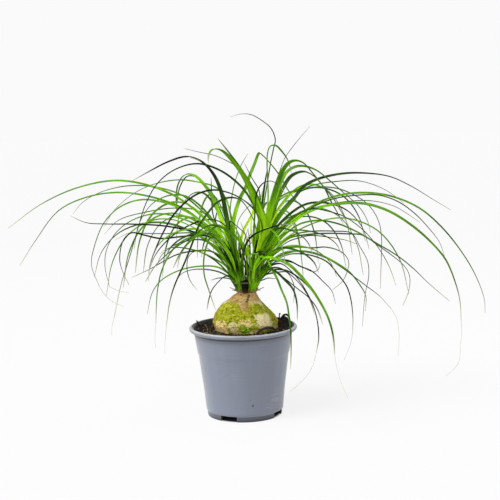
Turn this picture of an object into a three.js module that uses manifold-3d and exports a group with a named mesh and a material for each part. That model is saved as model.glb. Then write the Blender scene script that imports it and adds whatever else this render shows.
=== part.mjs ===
// A ponytail palm in a plastic nursery pot: a swollen stem base with two heads of long arching leaves.
// Millimetres, +Z up. The origin is the centre of the pot's foot, where it stands on the table.
// +X is to the viewer's right in the front view, and -Y faces the viewer.
import * as THREE from "three";
import { mergeVertices } from "three/addons/utils/BufferGeometryUtils.js";
import Module from "manifold-3d";

const wasm = await Module();
wasm.setup();

const CLEARANCE = 0.3; // the gap between pieces that rest on each other
const Z_AXIS = new THREE.Vector3(0, 0, 1);
const ROD_SIDES = 5;
const GRID = 0.002;
const CLEANING_PASSES = 8;
const BEAD = { most: 2.5, margin: 0.6, turn: 0.7 }; // millimetres, and radians of turn

// The pot: a 12 cm nursery pot with a rolled rim, a stacking shoulder and a slotted foot.
const POT = {
  sides: 48,
  footHeight: 6.7,
  footInner: 38.6,
  floorTop: 8.2,
  // radius, height: outside from the foot up, over the rim, and down the inside
  outside: [[41.3, 0], [42, 6], [42.9, 6.6], [45.2, 30], [50.5, 69.6], [51.4, 71.4], [54.85, 94.4]],
  rim: [[55.6, 95], [58.3, 95.3], [59.7, 96.4], [60, 97.9], [59.3, 99.4], [57.9, 100], [56.4, 99.6]],
  inside: [[54.8, 97.2], [52.7, 88.4], [49.4, 71], [43.6, 30], [41.4, 9.6], [40.2, 8.2]],
  notchHeight: 6.3,
  notchAngle: 27,
  notchCentres: [-25.6, 64.4, 154.4, 244.4], // degrees from the front towards +X
  drainRadius: 3.6,
  drainCircle: 25,
  drains: 6,
};

// The swollen stem base: height, how far its centre lies to the right of the pot's, and radius.
const CAUDEX = {
  sides: 36,
  rows: [[73, 4, 0], [74, 4, 9], [80, 4, 21], [88, 4, 30.5], [95, 3.9, 35.2], [104, 2.6, 37],
    [112, 1.2, 33.6], [120, 0, 27.2], [126, 0.2, 21.4], [130, 2.1, 16.6], [134.5, 3.6, 12.8],
    [136.8, 4.8, 10.6], [137.6, 4.8, 9.2], [137.6, 4.8, 0]],
  lump: 0.022, // height of its swellings as a share of the radius
};

// The potting soil, a little under the rim and heaped up behind the stem on the right.
const SOIL = {
  sides: 32,
  level: 96.6,
  lump: 0.9,
  heap: { x: 46, y: 17, height: 8.5, spread: 11 },
  rings: [0, 33.5, 37.5, 42, 46.5, 50.5],
};

// The two growing heads stand side by side on the neck, with the dry stump of the first stem between them.
const SEAT = 137.6 + CLEARANCE;
// Lean is how far a head's stem moves sideways for each millimetre that it rises.
const HEADS = {
  left: { x: -1.7, radius: 3.5, lean: -0.32 },
  right: { x: 10.6, radius: 4.5, lean: 0.26 },
};
// The stem of wrapped leaf bases: share of the head's radius, and height over the seat.
const CORE = [[0, 0], [0.9, 0], [1.12, 4], [1.35, 12], [1.6, 22], [1.4, 31], [0, 38]];
const STEM_REST = 3; // a head's stem stands upright this far before it leans
const STUMP = { x: 3.3, y: -6.6, radius: 3, height: 16.5 };
// Dry leaf bases round the foot of a head: a low ring with torn points that lean out.
const COLLAR = { height: 1.6, thickness: 0.9, points: 8, pointLength: 3.6, pointLift: 62 };

// The rings' points keep to the side away from the other head. Stubs are longer points: each has its
// angle anticlockwise from +X, length and lift in degrees.
const DRY_BASES = {
  left: { from: 66, to: 268, stubs: [[172, 9, 32], [215, 7.5, 24]] },
  right: { from: 114, to: -104, stubs: [[-12, 9.5, 30], [-40, 8, 20]] },
};

// Where the front view is seen from: leaf points are given as they look from there.
const EYE = { distance: 1380, height: 380, across: 9.7 };

// Where on a head's stem a leaf's foot sits: how far out from the middle, and how high over the seat.
const FOOT = { spread: 0.35, low: 4, high: 20, lowRise: 148, highRise: 195 };

// A leaf blade: widest near its foot, drawn out to a hair at its tip, with a keel under its channel.
const BLADE = {
  thinnest: 0.5, // half width at the tip
  keelShare: 0.17, // keel depth as a share of the width
  keelLeast: 0.75,
  // The turns are in degrees: a blade turns a face to the front near its foot, or on its outer half.
  narrow: { taper: 0.3, footTurn: 48, crestTurn: 38 },
  broadFrom: 5,
  broad: { taper: 0.5, footTurn: 85, crestTurn: 12 },
};

// Leaves of the left head: [face, width, depth of the tip, bow, then [across, up] from foot to tip].
// Face is 1 where the upper side is turned to the viewer and -1 where the underside is.
// Depth and bow are positive away from the viewer.
const LEFT_LEAVES = [
  [1, 3.2, 34, 0, [-14, 190], [-40, 221], [-70, 245.5], [-105, 260], [-138, 264.6], [-180, 257],
    [-220, 239.5], [-256, 214.5]],
  [1, 2.8, 75, 0, [-16, 186], [-45, 219], [-66, 234], [-100, 246.5], [-135, 251.5], [-170, 246.5],
    [-200, 232.5], [-227, 199.5], [-245, 173]],
  [1, 2.8, 45, 0, [-12, 188], [-48, 221.5], [-75, 236.5], [-106, 243], [-131, 236], [-150, 218.5],
    [-162, 192], [-166, 172], [-158, 147]],
  [-1, 6.5, 120, 0, [-10, 190], [-15, 222], [-20, 250], [-28, 270], [-40, 283.5], [-57, 289], [-77, 284],
    [-100, 273], [-118, 263.5]],
  [1, 2.2, 130, 0, [-13, 195], [-30, 216], [-43, 230], [-62, 246], [-90, 256], [-121, 258.5], [-150, 253],
    [-172, 242], [-184, 229]],
  [1, 2.1, 206, 0, [-7, 195], [-11, 225], [-16, 243], [-26, 254.5], [-44, 260.5], [-66, 263.8],
    [-96, 259], [-120, 247.5], [-140, 230], [-150, 214]],
  [-1, 3.2, 12, 0, [-16, 182], [-33, 199], [-52, 206], [-82, 213], [-117, 216], [-150, 217], [-170, 219],
    [-187, 227]],
  [1, 3.4, -205, 0, [-10, 176], [-20, 193], [-31, 207], [-42, 205.5], [-56, 196], [-68, 181], [-76, 166]],
  [-1, 3.2, -30, 0, [-14, 180], [-30, 198], [-45, 202], [-66, 201], [-89, 199.5], [-107, 203.8],
    [-120, 206.5], [-129.5, 198.7], [-134.5, 178], [-132, 164], [-125, 148]],
  [1, 1.9, 90, 0, [-12, 184], [-33, 202], [-56, 205], [-82, 204.7], [-105, 205.5], [-124, 206],
    [-138, 199]],
  [1, 2.3, 100, 0, [-12, 180], [-35, 206], [-58, 218.5], [-88, 227], [-114, 222.6], [-135, 209.5],
    [-148, 190], [-151, 170], [-147, 147]],
  [-1, 2, 150, 0, [-10, 185], [-28, 216], [-47, 229.5], [-73, 232.8], [-104, 229], [-134, 220.8],
    [-150, 206]],
  [1, 5.5, 90, 0, [-9, 185], [-21, 218], [-27.5, 238], [-38, 257], [-49, 268], [-59, 269.5], [-67, 260],
    [-70, 243], [-69.5, 228]],
  [-1, 2.3, 125, 0, [-8, 190], [-19, 222], [-29, 247], [-45, 265], [-57, 267.5], [-65, 257], [-69, 240],
    [-71, 222]],
  [1, 5, 96, 0, [-7, 185], [-8, 214], [-5, 228], [1, 244], [6, 253], [10.5, 265], [17, 280],
    [22.3, 291.2], [25.5, 289], [42, 269], [54, 248], [67, 231]],
  [1, 1.7, 140, 0, [-8, 190], [-11, 228], [-9, 243], [-5, 260], [-1, 271], [3, 280], [10, 291]],
  [-1, 3, 130, 0, [-12, 190], [-29, 220.5], [-31, 240], [-31, 255], [-31, 266]],
  [-1, 2.8, -90, -12, [-1, 166], [2, 180], [6, 192], [13, 200.5], [23, 205.5], [34, 209], [45, 212],
    [60, 211]],
  [-1, 2.6, -80, 0, [-7, 182], [-12, 207], [-11, 217], [-5, 212], [3, 204.5], [9, 196]],
  [1, 3.6, 60, 0, [-3, 172], [-1, 190], [3, 206], [9, 217], [17, 231], [24, 245], [27, 258]],
  [-1, 1.8, 100, 0, [-5, 180], [-5, 204], [-2, 218], [6, 229.5], [14, 236], [25, 241]],
  [1, 2.4, 40, 0, [-10, 160], [-19.5, 169], [-27, 174], [-36, 179], [-46.5, 184], [-57, 187], [-68, 189],
    [-82, 188], [-90, 182]],
  [-1, 2.8, -40, 0, [-10, 160], [-17, 171.5], [-25, 179], [-33, 183.8], [-43.5, 185], [-61.5, 183.5],
    [-74, 180], [-86, 174], [-101, 166], [-122, 156.5]],
  [1, 2.2, 20, 0, [-10, 153], [-16.5, 160], [-27, 166.3], [-45, 167.6], [-63, 165.2], [-80, 158.7],
    [-92, 150.3], [-100, 138.5], [-104, 125], [-106, 115]],
  [-1, 2.1, -70, 0, [-10, 152], [-17.5, 157], [-26, 161], [-39, 163.8], [-53, 164], [-66, 160],
    [-74, 150]],
  [-1, 2.8, -110, 0, [-7, 149], [-13, 155.5], [-19, 155.5], [-26, 150], [-33, 141.5], [-37, 131],
    [-39.7, 118.5]],
  [1, 1.7, -25, 0, [-12, 152], [-24, 154], [-35, 151.5]],
  [1, 2.4, -130, 0, [-13, 178], [-24, 193], [-33, 199.5], [-38, 190], [-41.5, 175], [-41.5, 158],
    [-37, 141], [-30, 118]],
  [1, 2.2, -80, 0, [-12, 175], [-30, 194], [-47, 200.5], [-60, 198.5], [-72, 190.5], [-82, 177],
    [-89, 162], [-94, 141], [-96, 120], [-97, 104]],
  [-1, 2.5, 55, 0, [-8, 192], [-17, 212], [-28, 218.5], [-42, 218.5], [-56, 213.5], [-70, 206],
    [-84, 194.5], [-95, 181], [-103, 163]],
  [-1, 1.7, -110, 0, [-12, 165], [-25, 180], [-40, 185.5], [-52, 184], [-58, 179], [-60.5, 168],
    [-58, 153], [-50, 141]],
];

// Leaves of the right head. The first ones cross over in front of the left head.
const RIGHT_LEAVES = [
  [-1, 2.8, -120, 0, [16, 182], [21, 215], [11, 241.5], [1, 255.5], [-19, 272], [-45, 281], [-70, 275.3],
    [-90, 260.5], [-104, 237.5], [-113, 212], [-124, 178], [-134, 149], [-143, 112]],
  [1, 2.5, -170, 0, [17, 182], [24, 208], [18.5, 225], [7, 237.5], [-8, 246.7], [-28, 251.8], [-46, 248],
    [-61, 238], [-75, 223.3], [-86, 205], [-93.5, 190], [-101, 171], [-104, 152]],
  [1, 2.6, -150, 0, [13, 180], [17, 207], [9, 229.5], [0, 240.5], [-12, 243], [-25, 238], [-36.5, 225.5],
    [-47, 210.5], [-53, 195], [-63, 171.5], [-75, 146], [-81, 127], [-85.5, 100]],
  [-1, 3.6, -200, 0, [9, 174], [3, 189], [-8, 201.5], [-20, 210], [-30, 213.3], [-41, 210], [-55, 199.5],
    [-68, 192], [-82, 182], [-96, 168.5], [-107, 151.5]],
  [-1, 9.5, -90, 0, [19, 180], [25, 212], [20.5, 229], [13, 248], [5, 266], [-7, 283], [-19, 295],
    [-28.5, 296.3], [-33, 290.5], [-34, 281]],
  [-1, 5.6, -60, 0, [21, 180], [28, 212], [24, 228], [16, 249], [3, 272], [-9.5, 290.5], [-23, 308.5]],
  [-1, 1.7, -30, 0, [17, 190], [22, 230], [21, 250], [15.5, 260.5], [12, 267], [5, 282]],
  [1, 1.7, 25, 0, [15, 185], [24, 225], [31, 262], [34.5, 281], [38, 296], [40, 305], [36, 317],
    [27, 325.5], [14, 333], [2, 333.8], [-8, 331]],
  [1, 5.5, -25, 0, [17, 180], [27, 215], [30.7, 243], [30.3, 270], [31, 290.5], [34, 298], [40, 299],
    [46, 293.5], [53.5, 282], [57, 268]],
  [1, 1.5, -50, 0, [20, 190], [30, 230], [38, 255], [44.5, 272], [50, 285], [62, 301], [78, 319]],
  [1, 1.6, -75, 0, [14, 190], [16, 235], [10, 260], [0, 275], [-10, 281.5], [-26, 289.3], [-44, 293.7],
    [-60, 298]],
  [-1, 2.2, -70, 0, [14, 190], [16, 225], [18, 245], [21.5, 253.5], [27, 258.7], [35, 260], [43, 255],
    [50, 246]],
  [-1, 3.4, -25, 0, [15, 190], [20, 215], [24.5, 238], [26.5, 250], [28.5, 263], [31, 276]],
  [-1, 9.5, -55, 0, [17, 178], [26, 200], [32, 224], [37, 243], [42, 259], [48, 272.5], [55.5, 280.5],
    [63, 282], [71, 279], [80, 268.5], [92, 252.5], [103, 238.5], [112, 222.5], [120, 206]],
  [1, 6, 30, 0, [17, 180], [29, 215], [38, 240], [45, 258], [52, 270], [62, 275.5], [72, 275.5],
    [84, 271], [98.5, 259.5], [112, 247.3], [122, 238.5], [133, 226.5], [140, 213], [143, 200]],
  [1, 6.5, 80, 0, [18, 178], [31, 212], [41, 240], [48.5, 254.5], [57, 265.5], [70, 269.8],
    [80.5, 265.5], [91, 254], [100, 236], [107, 223], [113, 211]],
  [1, 5.2, 50, 0, [17, 172], [28, 197], [44.5, 223], [58, 239], [70.5, 253.8], [86, 261.3], [112, 266.5],
    [138, 266.5], [165, 262], [189, 250.5], [211, 236.5], [231, 224]],
  [1, 2.3, 110, 0, [20, 190], [32, 225], [44, 242], [60, 249], [85, 252.4], [104, 251], [120, 245.5],
    [137, 235], [147, 223.5], [153, 210], [155, 196], [154.8, 176], [154, 158], [153.3, 138]],
  [1, 1.7, 155, 0, [20, 190], [40, 236], [67, 250], [85, 255.5], [105, 258], [128, 258.5], [149, 252.7],
    [166, 243.5], [180, 232]],
  [1, 3.2, -36, 0, [19, 168], [32, 190], [45.5, 207], [63.5, 221.5], [80.5, 232.5], [97, 239.7],
    [120.5, 244.6], [147, 244.3], [171, 239], [197.5, 226.3], [220.5, 206], [242, 179], [258, 152],
    [268.5, 124], [269.5, 108]],
  [-1, 2.2, 25, 0, [20, 168], [36, 194], [56, 214.5], [80, 230.5], [104, 239.3], [130, 242.5],
    [153, 241.8], [173.5, 234.3], [191.5, 221], [207.5, 203.8], [219, 188], [226, 167]],
  [1, 4.2, -80, 0, [20, 165], [34, 188], [52, 207.5], [67.5, 221], [89, 230.3], [112, 233.7], [138, 232.8],
    [164, 223.8], [188.5, 207.7], [209.5, 188.7], [226, 168.3], [236.5, 142.5], [241.5, 122], [243, 100]],
  [1, 1.6, 100, 0, [20, 175], [45, 214], [80, 229], [110, 235], [143, 236], [169.5, 229.2],
    [188.5, 217.3], [197, 211]],
  [-1, 2.2, -110, 0, [19, 165], [34, 192], [52, 214], [68, 225.5], [80, 228.7], [94.5, 226], [114.5, 219],
    [133.5, 205], [147, 190], [158, 173], [165, 158], [170.5, 141]],
  [1, 2.6, 12, 0, [21, 163], [33, 184], [49.5, 201.5], [65, 212], [85.5, 215.5], [107, 211.5],
    [127.5, 202.2], [148.5, 189.3], [173, 173.8], [191, 158.6], [206, 143.4], [230, 122]],
  [1, 2.3, 75, 0, [22, 160], [36, 182], [53, 196.5], [69, 199.7], [92, 201], [116, 200], [134.5, 198],
    [150, 187], [167, 174.3], [181, 161.4], [186, 150], [184.5, 134], [178, 118]],
  [1, 1.9, 130, 0, [21, 165], [38, 188], [58.5, 200.3], [78, 203.6], [103, 203.2], [122, 200.5],
    [131, 185.5], [139.5, 168.5], [140.5, 152], [136, 130], [133, 96]],
  [-1, 2, 60, 0, [21, 160], [34, 178], [50.5, 192], [65.5, 197], [78, 199], [96, 196.8], [116, 192.8],
    [128, 188]],
  [1, 2.1, 45, 0, [22, 162], [33, 176], [46, 185], [62, 186.5], [79, 185.2], [92.5, 185.8],
    [105.5, 182.5], [114, 177], [118.7, 168], [116, 155.7], [110.5, 146], [100.5, 137.8]],
  [1, 2.8, -75, 0, [22, 158], [32, 171], [45.5, 180], [58.5, 182], [74.5, 181], [90, 176], [107, 166.5],
    [120, 156.5], [130, 143.5], [137, 130], [136.3, 113]],
  [1, 2, -15, 0, [23, 158], [36, 173], [58, 181.5], [76, 180], [94, 173.4], [113, 161], [124, 152.2],
    [137, 141.7], [151, 130.7], [165, 115]],
  [-1, 2.2, 95, 0, [23, 155], [38, 172], [53, 178.5], [69, 178.5], [83, 175], [95.5, 168.5], [106, 155.5],
    [116, 141.2], [120.5, 126], [122.5, 106], [122, 90]],
  [-1, 3.2, -45, 0, [20, 158], [31, 171], [41, 173], [53, 171.3], [64.5, 165], [77.5, 159.3], [90, 147.3],
    [99.5, 136.5], [103.3, 122]],
  [1, 1.7, 40, 0, [22, 156], [36, 170], [54, 170], [70, 162.5], [79, 158.5], [84.5, 160.7], [87, 168.5]],
  [1, 3.6, -190, 0, [17, 165], [26, 175.5], [38, 174], [51.5, 167.7], [62.5, 157.3], [78.5, 136.8],
    [92.5, 112], [98.5, 94], [101, 78], [101.5, 64]],
  [-1, 2.8, -120, 0, [20, 155], [31, 166], [43.5, 168.4], [54.8, 160], [69, 140.7], [79, 119], [83.5, 98],
    [84, 82], [81, 66]],
  [-1, 3, -150, 0, [18, 153], [26, 163], [35, 161.5], [47.5, 152], [61, 140.5], [74, 129.5], [83, 116.5],
    [89, 98.5]],
  [-1, 1.9, -60, 0, [18, 151], [28, 157], [41, 159], [50, 158.5], [57, 146], [57.8, 134], [56.5, 124]],
  [1, 3, -100, 0, [17, 153], [27, 162], [37, 160], [48, 149.5], [56.5, 139], [60.5, 122], [60.5, 104]],
  [1, 2.8, -125, 0, [14, 162], [20, 176.5], [28, 174], [33, 163], [38.5, 152.5], [43.5, 139], [49, 124.5],
    [51.5, 107], [52.8, 93], [53, 72], [52, 49]],
  [1, 3.6, -120, 0, [14, 163], [20, 177], [13, 180], [7, 176.5]],
  [1, 2.8, -30, 0, [16, 150], [22, 153.5], [29, 157], [38, 157.5]],
  [-1, 2.2, 10, 0, [16, 148], [23, 150.5], [29, 152.5], [38, 151.5]],
];

// Leaves that fill the sides that the front view doesn't show: each spreads on its own head's side.
// From and to are degrees anticlockwise from +X, seen from above.
const FANS = [
  { head: "left", from: 98, to: 166, count: 10, reach: 188, rise: 100, drop: 92 },
  { head: "left", from: 192, to: 258, count: 5, reach: 118, rise: 72, drop: 34 },
  { head: "right", from: 82, to: 14, count: 10, reach: 190, rise: 104, drop: 96 },
  { head: "right", from: -12, to: -78, count: 5, reach: 116, rise: 68, drop: 34 },
];
const FAN_SEED = 7;
const FAN_SHAPE = [[0.06, 0.3], [0.2, 0.7], [0.42, 0.98], [0.6, 1], [0.8, 0.82], [0.94, 0.45], [1, 0]];

const PALETTE = {
  pot: { color: 0x868c95, roughness: 0.5, metalness: 0 },
  soil: { color: 0x2a1f17, roughness: 1, metalness: 0 },
  caudex: { color: 0xa8935a, roughness: 0.85, metalness: 0 },
  stump: { color: 0x2b211a, roughness: 0.9, metalness: 0 },
  collar: { color: 0x7d5f3a, roughness: 0.9, metalness: 0 },
  leaf: { color: 0x4d8a1f, roughness: 0.45, metalness: 0 },
};

// The same draw of numbers on every run.
function seededDraw(seed) {
  let state = seed;
  return () => {
    state = (state * 16807) % 2147483647;
    return state / 2147483647;
  };
}

// Points and triangle corners as a solid whose faces point outwards.
function facingOut(points, corners) {
  const solid = solidFrom(points, corners);
  if (solid.volume() > 0) return solid;
  const turnedRound = [];
  for (let i = 0; i < corners.length; i += 3) turnedRound.push(corners[i], corners[i + 2], corners[i + 1]);
  return solidFrom(points, turnedRound);
}

function solidFrom(points, corners) {
  return new wasm.Manifold(new wasm.Mesh({
    numProp: 3,
    vertProperties: points,
    triVerts: new Uint32Array(corners),
  }));
}

// A closed geometry as a solid: shared points are merged and triangles without area are dropped.
function solidOf(geometry) {
  const bare = geometry.index ? geometry.toNonIndexed() : geometry.clone();
  for (const name of Object.keys(bare.attributes)) {
    if (name !== "position") bare.deleteAttribute(name);
  }
  const merged = mergeVertices(bare, GRID / 4);
  const index = merged.index.array;
  const corners = [];
  for (let i = 0; i < index.length; i += 3) {
    const [a, b, c] = [index[i], index[i + 1], index[i + 2]];
    if (a !== b && b !== c && c !== a) corners.push(a, b, c);
  }
  return facingOut(merged.attributes.position.array, corners);
}

// A solid as a geometry whose points lie on a fine grid, so that no two of them all but touch.
function geometryOf(solid) {
  const mesh = solid.getMesh();
  const geometry = new THREE.BufferGeometry();
  const positions = mesh.vertProperties.map((value) => Math.round(value / GRID) * GRID);
  geometry.setAttribute("position", new THREE.BufferAttribute(positions, 3));
  geometry.setIndex(new THREE.BufferAttribute(mesh.triVerts, 1));
  geometry.computeVertexNormals();
  return geometry;
}

// Solids as one body, with the small pockets closed in between them filled.
// Where crowded solids leave folds of the surface that touch along an edge, a bead is added over them.
function joined(solids) {
  const parts = solids.slice();
  let body;
  for (let pass = 0; pass < CLEANING_PASSES; pass += 1) {
    body = largestBody(solidOf(geometryOf(largestBody(wasm.Manifold.union(parts)))));
    const beads = foldBeads(geometryOf(body), pass + 1);
    if (beads.length === 0) return body;
    parts.push(...beads);
  }
  return body;
}

// A bead over each group of edges that more than two faces share, larger and turned further each time.
function foldBeads(geometry, round) {
  const positions = new THREE.BufferGeometry().setAttribute("position", geometry.attributes.position);
  const merged = mergeVertices(positions.setIndex(geometry.index), GRID / 4);
  const index = merged.index.array;
  const count = merged.attributes.position.count;
  const faces = new Map();
  for (let i = 0; i < index.length; i += 1) {
    const [a, b] = [index[i], index[i % 3 === 2 ? i - 2 : i + 1]];
    const edge = Math.min(a, b) * count + Math.max(a, b);
    faces.set(edge, (faces.get(edge) ?? 0) + 1);
  }
  const groups = [];
  for (const [edge, shared] of faces) {
    if (shared <= 2) continue;
    const ends = [Math.floor(edge / count), edge % count].map((i) => (
      new THREE.Vector3().fromBufferAttribute(merged.attributes.position, i)));
    const box = new THREE.Box3().setFromPoints(ends);
    const near = groups.find((group) => spanOf(group.clone().union(box)) < BEAD.most);
    if (near) near.union(box);
    else groups.push(box);
  }
  return groups.map((box) => {
    const middle = box.getCenter(new THREE.Vector3());
    const bead = new THREE.IcosahedronGeometry(spanOf(box) / 2 + BEAD.margin * round, 0);
    return solidOf(bead.rotateX(BEAD.turn * round).rotateZ(BEAD.turn * round).translate(...middle));
  });
}

function spanOf(box) {
  return box.min.distanceTo(box.max);
}

function largestBody(solid) {
  return solid.decompose().reduce((most, body) => (body.volume() > most.volume() ? body : most));
}

// A ring or bowl turned about the upright axis from [radius, height] points.
function turned(profile, sides) {
  const points = profile.map(([radius, height]) => new THREE.Vector2(radius, height));
  return new THREE.LatheGeometry(points, sides).rotateX(Math.PI / 2);
}

function upright(radiusTop, radiusBottom, height, sides, x, y, bottom) {
  const geometry = new THREE.CylinderGeometry(radiusTop, radiusBottom, height, sides);
  return geometry.rotateX(Math.PI / 2).translate(x, y, bottom + height / 2);
}

function makePot() {
  const profile = [
    [0, POT.floorTop],
    ...[...POT.inside].reverse(),
    ...[...POT.rim].reverse(),
    ...[...POT.outside].reverse(),
    [POT.footInner, 0],
    [POT.footInner - 0.4, POT.footHeight],
    [0, POT.footHeight],
  ];
  let pot = solidOf(turned(profile, POT.sides));
  for (const centre of POT.notchCentres) pot = pot.subtract(solidOf(footNotch(centre)));
  for (let i = 0; i < POT.drains; i += 1) {
    const angle = (2 * Math.PI * i) / POT.drains;
    const [x, y] = [POT.drainCircle * Math.cos(angle), POT.drainCircle * Math.sin(angle)];
    pot = pot.subtract(solidOf(upright(POT.drainRadius, POT.drainRadius, 8, 12, x, y, 3)));
  }
  return pot;
}

// A wedge that cuts one slot in the foot ring.
function footNotch(centre) {
  const [near, far] = [POT.footInner - 3, 46];
  const half = THREE.MathUtils.degToRad(POT.notchAngle / 2);
  const shape = new THREE.Shape([
    new THREE.Vector2(near * Math.sin(-half), -near * Math.cos(half)),
    new THREE.Vector2(far * Math.sin(-half), -far * Math.cos(half)),
    new THREE.Vector2(far * Math.sin(half), -far * Math.cos(half)),
    new THREE.Vector2(near * Math.sin(half), -near * Math.cos(half)),
  ]);
  const wedge = new THREE.ExtrudeGeometry(shape, { depth: POT.notchHeight + 1, bevelEnabled: false });
  return wedge.translate(0, 0, -1.05).rotateZ(THREE.MathUtils.degToRad(centre));
}

// The stem base's slow swellings, as a share of its radius.
function swelling(angle, height) {
  return CAUDEX.lump * (Math.sin(2 * angle + height * 0.05) + 0.6 * Math.sin(5 * angle - height * 0.11)
    + 0.4 * Math.sin(9 * angle + height * 0.23));
}

function makeCaudex(grow) {
  const profile = CAUDEX.rows.map(([height, , radius]) => [radius, height]);
  const geometry = turned(profile, CAUDEX.sides);
  const position = geometry.attributes.position;
  const middle = 104;
  for (let i = 0; i < position.count; i += 1) {
    const [x, y, z] = [position.getX(i), position.getY(i), position.getZ(i)];
    const radius = Math.hypot(x, y);
    const angle = Math.atan2(y, x);
    const swollen = radius < 0.01 ? 0 : radius * (1 + swelling(angle, z)) + grow;
    const shift = CAUDEX.rows.find(([height]) => Math.abs(height - z) < 0.01)[1];
    const lifted = z + grow * Math.sign(z - middle);
    position.setXYZ(i, shift + swollen * Math.cos(angle), swollen * Math.sin(angle), lifted);
  }
  return solidOf(geometry);
}

// Height of the soil over the plain level at a place.
function soilLump(x, y) {
  const heap = SOIL.heap;
  const away = Math.hypot(x - heap.x, y - heap.y) / heap.spread;
  return heap.height * Math.exp(-away * away)
    + SOIL.lump * (Math.sin(0.42 * x + 1.3) * Math.cos(0.37 * y) + 0.7 * Math.sin(0.9 * x - 0.8 * y));
}

function makeSoil() {
  const [lip, ...below] = POT.inside.map(([radius, height]) => [radius - CLEARANCE, height]);
  const edge = [lip[0] - 0.5, SOIL.level - 1.2];
  const top = SOIL.rings.map((radius) => [radius, SOIL.level]);
  const [floorEdge] = below.pop();
  const bottom = POT.floorTop + CLEARANCE;
  const profile = [...top, edge, ...below, [floorEdge, bottom], [0, bottom]].reverse();
  const geometry = turned(profile, SOIL.sides);
  const position = geometry.attributes.position;
  for (let i = 0; i < position.count; i += 1) {
    if (Math.abs(position.getZ(i) - SOIL.level) > 0.01) continue;
    position.setZ(i, SOIL.level + soilLump(position.getX(i), position.getY(i)));
  }
  const twigs = [
    rod([[41, 11, 101], [40.6, 11, 105.5], [41.2, 11, 109]], 0.7),
    ball(41.3, 11, 109.6, 1.35),
    rod([[42, 14, 100], [45, 14.5, 107], [49, 14.5, 108.2], [52.2, 13, 104], [52, 12, 98]], 1.1),
    rod([[-47, 13, 93], [-49.5, 13.5, 98], [-51.5, 14, 103.5]], 1),
    rod([[10, -44, 94], [17, -44.5, 99.5], [26, -42.5, 99.5], [32, -39, 94]], 1.2),
  ];
  return joined([solidOf(geometry), ...twigs]).subtract(makeCaudex(CLEARANCE));
}

// A thin round rod along points, for twigs and bark bits in the soil.
function rod(points, radius) {
  const path = new THREE.CatmullRomCurve3(points.map((p) => new THREE.Vector3(...p)));
  const corners = [];
  for (let i = 0; i < ROD_SIDES; i += 1) {
    const angle = (2 * Math.PI * i) / ROD_SIDES;
    corners.push(new THREE.Vector2(radius * Math.cos(angle), radius * Math.sin(angle)));
  }
  const steps = 2 * points.length - 2;
  return solidOf(new THREE.ExtrudeGeometry(new THREE.Shape(corners), {
    steps,
    bevelEnabled: false,
    extrudePath: path,
  }));
}

function ball(x, y, z, radius) {
  return solidOf(new THREE.IcosahedronGeometry(radius, 1).translate(x, y, z));
}

// The dry cut stump of the first stem, ragged at the top.
function makeStump() {
  const { x, y, radius, height } = STUMP;
  const profile = [[0, 0], [radius, 0], [radius * 1.18, height * 0.35], [radius * 1.12, height],
    [radius * 0.7, height + 0.4], [radius * 0.4, height - 2.4], [0, height - 3]];
  const bole = solidOf(turned(profile, 14).translate(x, y, SEAT));
  const top = SEAT + height;
  const prongs = [
    rod([[x - 2.2, y, top - 3], [x - 2.3, y, top + 2.5], [x - 1.3, y + 0.4, top + 6]], 0.75),
    rod([[x + 2.2, y, top - 3], [x + 2.4, y, top + 2], [x + 1.8, y + 0.4, top + 4.5]], 0.75),
  ];
  return joined([bole, ...prongs]);
}

// Dry brown leaf bases round the foot of a head: a low ring with torn points.
function makeCollar(head, { from, to, stubs }) {
  const inner = head.radius * 1.05 + CLEARANCE;
  const outer = inner + COLLAR.thickness;
  const profile = [[inner, 0], [outer, 0], [outer + 0.2, COLLAR.height], [inner + 0.2, COLLAR.height],
    [inner, 0]];
  const solids = [solidOf(turned(profile, 16).translate(head.x, 0, SEAT))];
  const points = stubs.slice();
  for (let i = 0; i < COLLAR.points; i += 1) {
    const angle = from + ((to - from) * i) / (COLLAR.points - 1);
    points.push([angle, COLLAR.pointLength + (i % 3) * 0.5, COLLAR.pointLift]);
  }
  for (const [angle, length, lift] of points) {
    const spike = new THREE.ConeGeometry(1, length, 4).rotateY(Math.PI / 4).scale(0.6, 1, 1.3);
    spike.translate(0, length / 2 - 0.6, 0).rotateX(Math.PI / 2);
    spike.rotateY(THREE.MathUtils.degToRad(90 - lift));
    spike.translate((inner + outer) / 2 + 0.1, 0, SEAT + COLLAR.height);
    solids.push(solidOf(spike.rotateZ(THREE.MathUtils.degToRad(angle)).translate(head.x, 0, 0)));
  }
  return joined(solids);
}

// A point seen at [across, up] on the middle plane, moved back along the line of sight.
function seen(across, up, back) {
  const away = 1 + back / EYE.distance;
  const right = EYE.across + (across - EYE.across) * away;
  return new THREE.Vector3(right, back, EYE.height + (up - EYE.height) * away);
}

// How far along a line of points each one lies.
function runningLengths(points) {
  const along = [0];
  for (let i = 1; i < points.length; i += 1) {
    along.push(along[i - 1] + points[i].distanceTo(points[i - 1]));
  }
  return along;
}

// The points of a leaf that is given as seen: its depth grows along its length.
function tracedPoints(head, [, , reach, bow, ...marks]) {
  const tip = marks[marks.length - 1];
  const plan = new THREE.Vector2(tip[0] - head.x, reach).setLength(FOOT.spread * head.radius);
  const foot = footHeight(marks[0][1]);
  const flat = [[stemCentre(head, foot) + plan.x, foot], ...marks];
  const along = runningLengths(flat.map(([across, up]) => new THREE.Vector2(across, up)));
  return flat.map(([across, up], i) => {
    const share = along[i] / along[along.length - 1];
    return seen(across, up, plan.y + (reach - plan.y) * share ** 1.25 + bow * Math.sin(Math.PI * share));
  });
}

// How far right the middle of a head's leaning stem is at a height.
function stemCentre(head, height) {
  return head.x + head.lean * Math.max(0, height - SEAT - STEM_REST);
}

// A leaf that rises high grows from high on the head's stem, and a low one from its foot.
function footHeight(rise) {
  const share = THREE.MathUtils.clamp((rise - FOOT.lowRise) / (FOOT.highRise - FOOT.lowRise), 0, 1);
  return SEAT + FOOT.low + (FOOT.high - FOOT.low) * share;
}

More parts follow.
